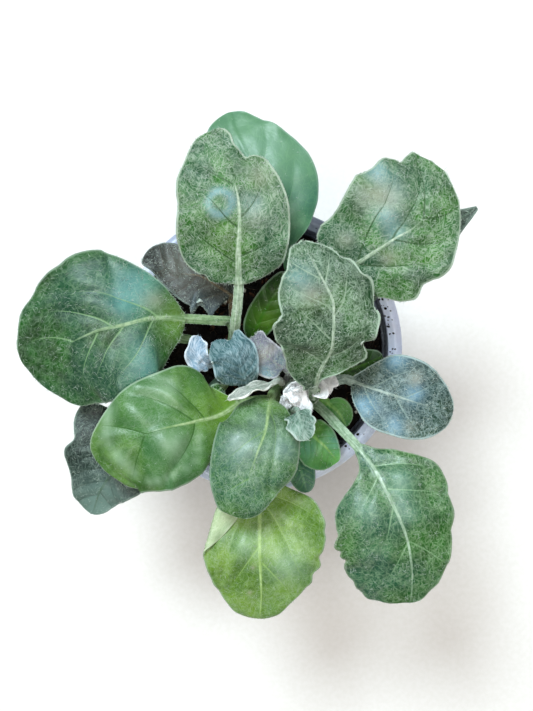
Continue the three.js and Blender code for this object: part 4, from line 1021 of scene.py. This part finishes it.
tuftShape = dict(shares=(0.55, 0.8, 0.95, 1, 0.9, 0.7, 0.4), depth=6, arch=3.4, start=0.55, startLift=1.2)


def lathe(profile, segments, centre=(0, 0)):  # closed body turned from (radius, height) points, axis to axis
    profile = np.array(profile, float)
    inner = profile[1:-1]
    turn = np.arange(segments) / segments * 2 * math.pi
    x = inner[:, :1] * np.cos(turn) + centre[0]
    y = inner[:, :1] * np.sin(turn) + centre[1]
    z = np.broadcast_to(inner[:, 1:], x.shape)
    ends = [(*centre, profile[0, 1]), (*centre, profile[-1, 1])]
    points = np.vstack([np.stack([x, y, z], -1).reshape(-1, 3), ends])
    corner = np.arange(x.size).reshape(x.shape)
    after = np.roll(corner, -1, axis=1)
    quads = np.stack([corner[:-1], after[:-1], after[1:], corner[1:]], -1).reshape(-1, 4)
    low = np.stack([after[0], corner[0], np.full(segments, x.size)], -1)
    high = np.stack([corner[-1], after[-1], np.full(segments, x.size + 1)], -1)
    return points, [quads, np.vstack([low, high])]


def stemProfile(stem):
    radius, foot, top = stem["radius"], stem["foot"], stem["top"]
    low = [(radius - inset, foot + rise) for inset, rise in stemEnds["foot"]]
    high = [(radius - inset, top + rise) for inset, rise in stemEnds["top"]]
    return [(0, foot), *low, *high, (1, top + 0.6), (0, top + 0.8)]


def tuftLeaf(stem, tip, width, via=None):
    root = np.array([stem["x"], stem["y"], stem["top"] - tuftShape["depth"]])
    tip = np.array(tip, float)
    middle = np.array(via, float) if via else (root + tip) / 2 + tuftShape["arch"] * up
    halves = [share * width for share in tuftShape["shares"]]
    start = root + tuftShape["start"] * (middle - root) + tuftShape["startLift"] * up
    return dict(youngLeaf, spine=[root, start, middle, tip], blade=1, left=halves, right=halves, fold=0.2,
                wave=(0.7, 2), crumple=4, grid=0.45)


for name, crown in crowns.items():
    stem = shoots[name]
    allPoints, quads = lathe(stemProfile(stem), 48, (stem["x"], stem["y"]))
    allFaces = list(quads)
    place = allPoints - [stem["x"], stem["y"], 0]
    bare = np.zeros_like(place)
    allValues = {"leafPlace": [place], "veins": [bare], "edge": [np.full(len(place), 3.0)], "patch": [bare]}
    hairParts = []
    hairCount, hairLength = crown["wool"]
    for number, tuft in enumerate(crown["tufts"]):
        leaf = tuftLeaf(stem, **tuft)
        leaf["hairs"] = (hairCount // len(crown["tufts"]), hairCount // 12, hairLength)
        points, faces, _, values, surface = leafBody(leaf, 60 + number)
        allFaces += [part + len(allPoints) for part in faces]
        allPoints = np.vstack([allPoints, points])
        for key, value in values.items():
            allValues[key].append(value)
        hairParts.append(scatterHairs(leaf, surface, 300 + number))
    mesh = meshOf(f"crown_{name}", allPoints, allFaces)
    addValues(mesh, {key: np.concatenate(value) for key, value in allValues.items()})
    stemFaces = sum(len(part) for part in quads)
    isTuft = np.arange(len(mesh.polygons)) >= stemFaces
    mesh.polygons.foreach_set("material_index", isTuft.astype(np.int32))
    materials = [leafMaterials["stem"], leafMaterials[crown["look"]]]
    addPiece(f"crown_{name}", mesh, materials, f"shoot_{name}")
    hairs = [np.concatenate(part) for part in zip(*hairParts)]
    wool = hairMesh(f"crown_{name}_wool", *hairs, 0.08, 400, curl=2.4, lift=0.7)
    addPiece(f"crown_{name}_wool", wool, [hairWhite])
report("crowns")

# Potting soil: a lumpy top, with loose crumbs, bits of bark, root fibres and a few white grains.
soil = dict(level=80.5, lump=1.4, gap=0.3, rings=90, facets=220, fibres=110)
pot = dict(height=92, rimRadius=52.5, ridgeRadius=50.1, lipRadius=47.2, lipDrop=1.2, skirtDepth=13,
           baseRadius=36, heel=1.4, wall=1.1, floor=1.6, drainHoles=8, drainRadius=3.2, drainCircle=25,
           facets=176, specks=120)


def wallRadius(z):  # inner radius of the pot's tapered wall
    share = z / (pot["height"] - pot["skirtDepth"])
    return pot["baseRadius"] + (pot["lipRadius"] + 0.2 - pot["baseRadius"]) * share - pot["wall"]


def soilTop(x, y):  # broad lumps, and three sizes of finer ones
    lumps = (np.sin(x * 0.21 + 1.3) * np.cos(y * 0.17 - 0.4) + 0.6 * np.sin(x * 0.43 - y * 0.31 + 2.1)
             + 0.4 * np.cos(x * 0.29 + y * 0.52))
    spot = np.stack([x, y], -1)
    fine = 0.5 * ripples(spot, 4, 11) + 0.3 * ripples(spot, 1.8, 12) + 0.14 * ripples(spot, 0.9, 13)
    return soil["level"] + soil["lump"] * lumps / 2 + fine


def soilMaterial():
    # Peat and bark mix, dug and crumbled: near-black brown, matt, with warmer specks of bark.
    material, add = newMaterial("potting soil, damp crumbs", {"IOR": 1.4})
    place = add("TexCoord", output=3)
    tone = spots(add, place, 4 * mm, (0.35, 0.65), detail=4)
    warm = add("Math", [spots(add, place, 1.6 * mm, (0.62, 0.72)), 0.35], **times)
    colour = layered(add, "080605", [(tone, "1d1510"), (warm, "54361f")])
    roughness = add("MapRange", [tone, 0, 1, 0.7, 0.95], **soft)
    grain = add("TexNoise", {"Vector": place, "Scale": 1 / (0.8 * mm), "Detail": 3})
    bump = add("Bump", {"Strength": 0.6, "Distance": 0.6 * mm, "Height": grain})
    return wired(material, {"Base Color": colour, "Roughness": roughness, "Normal": bump})


def bitMaterial(name, dark, light, size, roughness):
    # Loose bits of the mix, broken: each piece uneven in tone, matt.
    material, add = newMaterial(name, {"IOR": 1.45})
    place = add("TexCoord", output=3)
    tone = spots(add, place, size, (0.35, 0.65), detail=3)
    colour = layered(add, dark, [(tone, light)])
    dull = add("MapRange", [tone, 0, 1, roughness, roughness - 0.15], **soft)
    grain = add("TexNoise", {"Vector": place, "Scale": 3 / size})
    bump = add("Bump", {"Strength": 0.6, "Distance": 0.3 * mm, "Height": grain})
    return wired(material, {"Base Color": colour, "Roughness": dull, "Normal": bump})


soilDark = soilMaterial()
rings, facets = soil["rings"], soil["facets"]
turn = np.arange(facets) / facets * 2 * math.pi
outer = wallRadius(soil["level"]) - soil["gap"] - 0.4
bottom, low = wallRadius(0) - 1.2, pot["floor"] + soil["gap"]
sides = [  # radius and height down the soil's side, from its top to its rounded lower edge
    (outer + 0.1, soil["level"] - 3), (outer - 0.6 * (outer - bottom), 0.4 * soil["level"]),
    (bottom, low + 1), (bottom - 2, low)]
radii = np.concatenate([np.linspace(1 / rings, 1, rings) * outer, [radius for radius, _ in sides]])
x, y = radii[:, None] * np.cos(turn), radii[:, None] * np.sin(turn)
z = soilTop(x, y)
z[rings:] = np.array([height for _, height in sides])[:, None]
corner = np.arange(x.size).reshape(x.shape)
after = np.roll(corner, -1, axis=1)
ends = [(0, 0, soilTop(np.zeros(1), np.zeros(1))[0]), (0, 0, low)]
points = np.vstack([np.stack([x, y, z], -1).reshape(-1, 3), ends])
quads = np.stack([corner[:-1], corner[1:], after[1:], after[:-1]], -1).reshape(-1, 4)
fans = np.vstack([np.stack([corner[0], after[0], np.full(facets, x.size)], -1),
                  np.stack([after[-1], corner[-1], np.full(facets, x.size + 1)], -1)])
addPiece("soil_bed", meshOf("soil_bed", points, [quads, fans]), [soilDark], "soil")

golden = (1 + 5**0.5) / 2
ballPoints = [np.roll((a, b, 0), k) for k in range(3) for b in (golden, -golden) for a in (-1, 1)]
ball = dict(points=unit(np.array(ballPoints, float)), faces=np.array([  # an icosahedron
    (0, 11, 5), (0, 5, 1), (0, 1, 7), (0, 7, 10), (0, 10, 11), (1, 5, 9), (5, 11, 4), (11, 10, 2),
    (10, 7, 6), (7, 1, 8), (3, 9, 4), (3, 4, 2), (3, 2, 6), (3, 6, 8), (3, 8, 9), (4, 9, 5), (2, 4, 11),
    (6, 2, 10), (8, 6, 7), (9, 8, 1)]))


def finerBall(body):  # every triangle split in four
    points, faces = list(map(tuple, body["points"])), []
    seen = {}

    def middle(a, b):
        key = (min(a, b), max(a, b))
        if key not in seen:
            seen[key] = len(points)
            points.append(tuple(unit(np.array(points[a]) + np.array(points[b]))))
        return seen[key]

    for a, b, c in body["faces"]:
        ab, bc, ca = middle(a, b), middle(b, c), middle(c, a)
        faces += [(a, ab, ca), (b, bc, ab), (c, ca, bc), (ab, bc, ca)]
    return dict(points=np.array(points), faces=np.array(faces))


fineBall = finerBall(ball)


def turned(shape, angles, first, second):  # every body turned from one axis to the other
    c, s = np.cos(angles)[:, None], np.sin(angles)[:, None]
    a, b = shape[..., first], shape[..., second]
    shape = shape.copy()
    shape[..., first], shape[..., second] = a * c - b * s, a * s + b * c
    return shape


# Rough lumps lying at the places. stretch: length and thickness compared to the width.
def scatterBits(name, body, places, sizes, stretch, seed, rough=0.35, sink=0.3):
    chance = np.random.default_rng(seed)
    count, corners = len(places), len(body["points"])
    shape = body["points"][None] * (1 + chance.uniform(-rough, rough, (count, corners, 1)))
    shape = shape * (sizes[:, None, None] * np.array([stretch[0], 1, stretch[1]]))
    spin, tilt = chance.uniform(0, 2 * math.pi, count), chance.normal(0, 0.3, count)
    shape = turned(turned(shape, tilt, 0, 2), spin, 0, 1)
    lift = (sizes * stretch[1] * (1 - sink))[:, None] * up
    points = shape + (places + lift)[:, None]
    faces = (np.arange(count) * corners)[:, None, None] + body["faces"][None]
    return meshOf(name, points.reshape(-1, 3), [faces.reshape(-1, 3)])


def onSoil(count, seed):  # random places on the soil, clear of the stems
    chance = np.random.default_rng(seed)
    radius = outer * np.sqrt(chance.uniform(0.0, 0.95, 3 * count))
    turn = chance.uniform(0, 2 * math.pi, 3 * count)
    x, y = radius * np.cos(turn), radius * np.sin(turn)
    away = [np.hypot(x - stem["x"], y - stem["y"]) > stem["radius"] + 1.5 for stem in shoots.values()]
    clear = np.all(away, axis=0)
    x, y = x[clear][:count], y[clear][:count]
    return np.stack([x, y, soilTop(x, y)], -1)


barkBrown = bitMaterial("bark, chipped and weathered", "1c110a", "573822", 1.5 * mm, 0.9)
grainWhite = bitMaterial("perlite, heated until it puffed up", "b9b5ab", "e6e3da", 0.8 * mm, 0.85)
fibreBrown = bitMaterial("root fibre, dried", "3d2d20", "75614b", 2 * mm, 0.8)
bits = {  # size: least and most in mm, and a power that makes small ones commoner
    "soil_crumbs": dict(count=900, body=ball, size=(0.3, 1.3, 1.3), stretch=(1.2, 0.8), rough=0.35,
                        sink=0.3, material=soilDark),
    "soil_bark": dict(count=90, body=fineBall, size=(0.5, 1.3, 1), stretch=(2.4, 0.45), rough=0.2,
                      sink=0.0, material=barkBrown),
    "soil_grains": dict(count=26, body=fineBall, size=(0.35, 0.9, 1), stretch=(1.1, 0.9), rough=0.2,
                        sink=0.3, material=grainWhite),
}
chance = np.random.default_rng(21)
for seed, (name, bit) in zip((22, 24, 26), bits.items()):
    places = onSoil(bit["count"], seed)
    least, most, power = bit["size"]
    sizes = chance.uniform(least, most, len(places)) ** power
    mesh = scatterBits(name, bit["body"], places, sizes, bit["stretch"], seed + 1, bit["rough"], bit["sink"])
    addPiece(name, mesh, [bit["material"]])
places = onSoil(soil["fibres"], 28)
aim = unit(chance.normal(size=(len(places), 3)) * [1, 1, 0.15])
lengths = chance.uniform(3, 8, len(places))
above = np.broadcast_to(up, aim.shape)
fibres = hairMesh("soil_fibres", places + 0.4 * up, aim, above, lengths, 0.14, 29)
addPiece("soil_fibres", fibres, [fibreBrown])
report("soil")


# Pot: a thin shell with a rolled rim, a collar under it, eight drain holes and fine steps left by its mould.
def plasticMaterial():
    # Polypropylene, moulded: glossy lavender blue, a little dusty, with light rubbing marks and dried
    # splashes of soil; painted shade darkens the inner wall above the soil and the north side.
    material, add = newMaterial("polypropylene moulded, lavender blue", {"IOR": 1.5})
    place = add("TexCoord", output=3)
    x, y, z = add("SeparateXYZ", [place]).node.outputs
    cloud = spots(add, place, 30 * mm, (0.3, 0.7), detail=3)
    dust = spots(add, place, 6 * mm, (0.5, 0.75), detail=4)
    splash = spots(add, place, 3.5 * mm, (0.71, 0.74), detail=3)
    lip, level = pot["lipRadius"], soil["level"]
    squares = add("Math", [add("Math", [x, x], **times), add("Math", [y, y], **times)], operation="ADD")
    radius = add("Math", [squares], operation="SQRT")
    within = add("MapRange", [radius, (lip - 0.3) * mm, (lip + 0.2) * mm, 1, 0], **soft)
    over = add("MapRange", [z, (level - 1) * mm, level * mm], **soft)
    insideShade = add("Math", [within, over], **times)
    north = add("MapRange", [y, 30 * mm, 45 * mm], **soft)
    colour = layered(add, "d8e1fc", [
        (cloud, "eef2ff"),
        (add("Math", [dust, 0.2], **times), "b3a894"),
        (add("Math", [splash, 0.7], **times), "4a3626"),
        (add("Math", [insideShade, 0.75], **times), "3b3d4c"),  # painted shade: darker on the inner wall above the soil
        (add("Math", [north, 0.65], **times), "5d6c86"),  # painted shade: darker on the north side, where the leaves overhang the rim
    ])
    rubbed = spots(add, place, 5 * mm, (0.4, 0.7), (0.26, 0.34))
    roughness = add("Math", [dust, 0.2, rubbed], operation="MULTIPLY_ADD")
    dents = add("TexNoise", {"Vector": place, "Scale": 1 / (4 * mm)})
    bump = add("Bump", {"Strength": 0.2, "Distance": 0.06 * mm, "Height": dents})
    return wired(material, {"Base Color": colour, "Roughness": roughness, "Normal": bump})


def potProfile():
    height, skirt = pot["height"], pot["height"] - pot["skirtDepth"]
    base, lip, rimOut, ridge = pot["baseRadius"], pot["lipRadius"], pot["rimRadius"], pot["ridgeRadius"]
    heel, lipTop, floor = pot["heel"], height - pot["lipDrop"], pot["floor"]
    wallOut, collar = lip + 0.2, rimOut - 1.6
    points = [(0, 0), (base - 4, 0), (base - 2, 0), (base - 1, 0.3), (base - 0.3, 0.8), (base, heel)]
    for share in np.linspace(0.04, 0.97, 28):  # outer wall, with fine steps
        step = 0.16 * max(0, math.sin(share * 34)) ** 6
        points.append((base + (wallOut - base) * share - step, heel + share * (skirt - heel)))
    points += [(wallOut, skirt), (lip + 1.2, skirt + 0.1), (rimOut - 2, skirt + 0.35), (collar, skirt + 0.6)]
    for share in np.linspace(0.06, 0.94, 10):  # collar
        points.append((collar + 1.6 * share, skirt + 0.6 + share * (height - 2.4 - skirt)))
    points += [(rimOut, height - 1.8), (rimOut - 0.12, height - 1.2), (rimOut - 0.5, height - 0.7),
               (rimOut - 1.2, height - 0.25), (ridge, height), (ridge - 1.0, height - 0.12),
               (lip + 1.5, height - 0.45), (lip + 0.5, height - 0.7), (lip + 0.15, height - 0.9),
               (lip, lipTop)]
    for share in np.linspace(0.1, 1, 8):  # inside of the collar
        points.append((lip - 0.2 * share, lipTop + share * (skirt + 2.8 - height)))
    inner, innerFoot, innerTop = wallRadius(skirt), wallRadius(0), skirt - 1.5
    points += [(inner + 0.1, skirt - 0.6), (inner, innerTop)]
    for share in np.linspace(0.08, 1, 14):  # inner wall
        points.append((inner + share * (innerFoot + 0.4 - inner), innerTop + share * (floor + 1 - innerTop)))
    points += [(innerFoot - 0.1, floor + 0.25), (innerFoot - 0.8, floor), (0, floor)]
    return points


shell = addPiece("pot_shell", meshOf("pot_shell", *lathe(potProfile(), pot["facets"])), [plasticMaterial()],
                 "pot")
radius, above = pot["drainRadius"], pot["floor"] + 1
drillProfile = [(0, -1), (radius, -1), (radius, above), (0, above)]
drillPoints, drillFaces = [], []
for hole in range(pot["drainHoles"]):
    turn = (hole + 0.5) / pot["drainHoles"] * 2 * math.pi
    centre = (pot["drainCircle"] * math.cos(turn), pot["drainCircle"] * math.sin(turn))
    some, parts = lathe(drillProfile, 32, centre)
    first = sum(map(len, drillPoints))
    drillPoints.append(some)
    drillFaces += [part + first for part in parts]
drill = bpy.data.objects.new("drill", meshOf("drill", np.vstack(drillPoints), drillFaces))
scene.collection.objects.link(drill)
cut = shell.modifiers.new("drain holes", "BOOLEAN")
cut.object = drill
cut.solver = "EXACT"
bpy.context.view_layer.update()
bored = bpy.data.meshes.new_from_object(shell.evaluated_get(bpy.context.evaluated_depsgraph_get()))
shell.modifiers.clear()
shell.data = bored
bpy.data.objects.remove(drill)

chance = np.random.default_rng(31)
turn = chance.normal(0.15, 0.9, pot["specks"])
lip, height = pot["lipRadius"], pot["height"]
radius = lip + 0.3 + 2.6 * chance.uniform(0, 1, pot["specks"]) ** 2
z = np.interp(radius, [lip, lip + 0.5, pot["ridgeRadius"]], [height - pot["lipDrop"], height - 0.7, height])
places = np.stack([radius * np.cos(turn), radius * np.sin(turn), z], -1)
specks = scatterBits("rim_specks", ball, places, chance.uniform(0.12, 0.5, pot["specks"]), (1.2, 0.7), 32)
addPiece("rim_specks", specks, [soilDark])
report("pot")


# Ground and lights.
def floorMaterial():
    # Plain paper, rolled: even off-white, matt, with a very fine grain.
    material, add = newMaterial("paper rolled, off-white", {"IOR": 1.45, "Roughness": 0.9})
    grain = spots(add, add("TexCoord", output=3), 2 * mm, (0.3, 0.7), detail=3)
    return wired(material, {"Base Color": layered(add, "f6f3ee", [(grain, "faf7f3")])})


def makeStage():
    side, depth = 3000.0, -0.05
    corners = [(-side, -side, depth), (side, -side, depth), (side, side, depth), (-side, side, depth)]
    mesh = meshOf("ground", np.array(corners), [np.array([[0, 1, 2, 3]])])
    mesh.materials.append(floorMaterial())
    ground = bpy.data.objects.new("ground", mesh)
    scene.collection.objects.link(ground)


lights = {  # place and what it looks at in metres, side of the square lamp, power in watts, colour
    "north_softbox": dict(place=(-0.27, 0.5, 1.1), aim=(0, 0, 0.1), size=0.36, power=9.8,
                          colour=(0.78, 0.92, 1.0)),
    "overhead_panel": dict(place=(0.02, -0.1, 0.95), aim=(0, 0, 0.1), size=0.5, power=2.8,
                           colour=(1.0, 0.98, 0.96)),
}
room = dict(colour=(1.0, 0.96, 0.92, 1.0), strength=0.3)


def makeLights():
    for name, lamp in lights.items():
        data = bpy.data.lights.new(name, "AREA")
        data.shape = "SQUARE"
        data.size = lamp["size"]
        data.energy = lamp["power"]
        data.color = lamp["colour"]
        holder = bpy.data.objects.new(name, data)
        direction = np.array(lamp["aim"]) - np.array(lamp["place"])
        holder.location = lamp["place"]
        holder.rotation_euler = Vector(direction).to_track_quat("-Z", "Y").to_euler()
        scene.collection.objects.link(holder)
    world = bpy.data.worlds.new("soft room")
    scene.world = world
    world.use_nodes = True
    background = world.node_tree.nodes["Background"]
    background.inputs["Color"].default_value = room["colour"]
    background.inputs["Strength"].default_value = room["strength"]


makeStage()
makeLights()
scene.view_settings.view_transform = "Standard"
scene.view_settings.look = "Medium High Contrast"
report("stage")
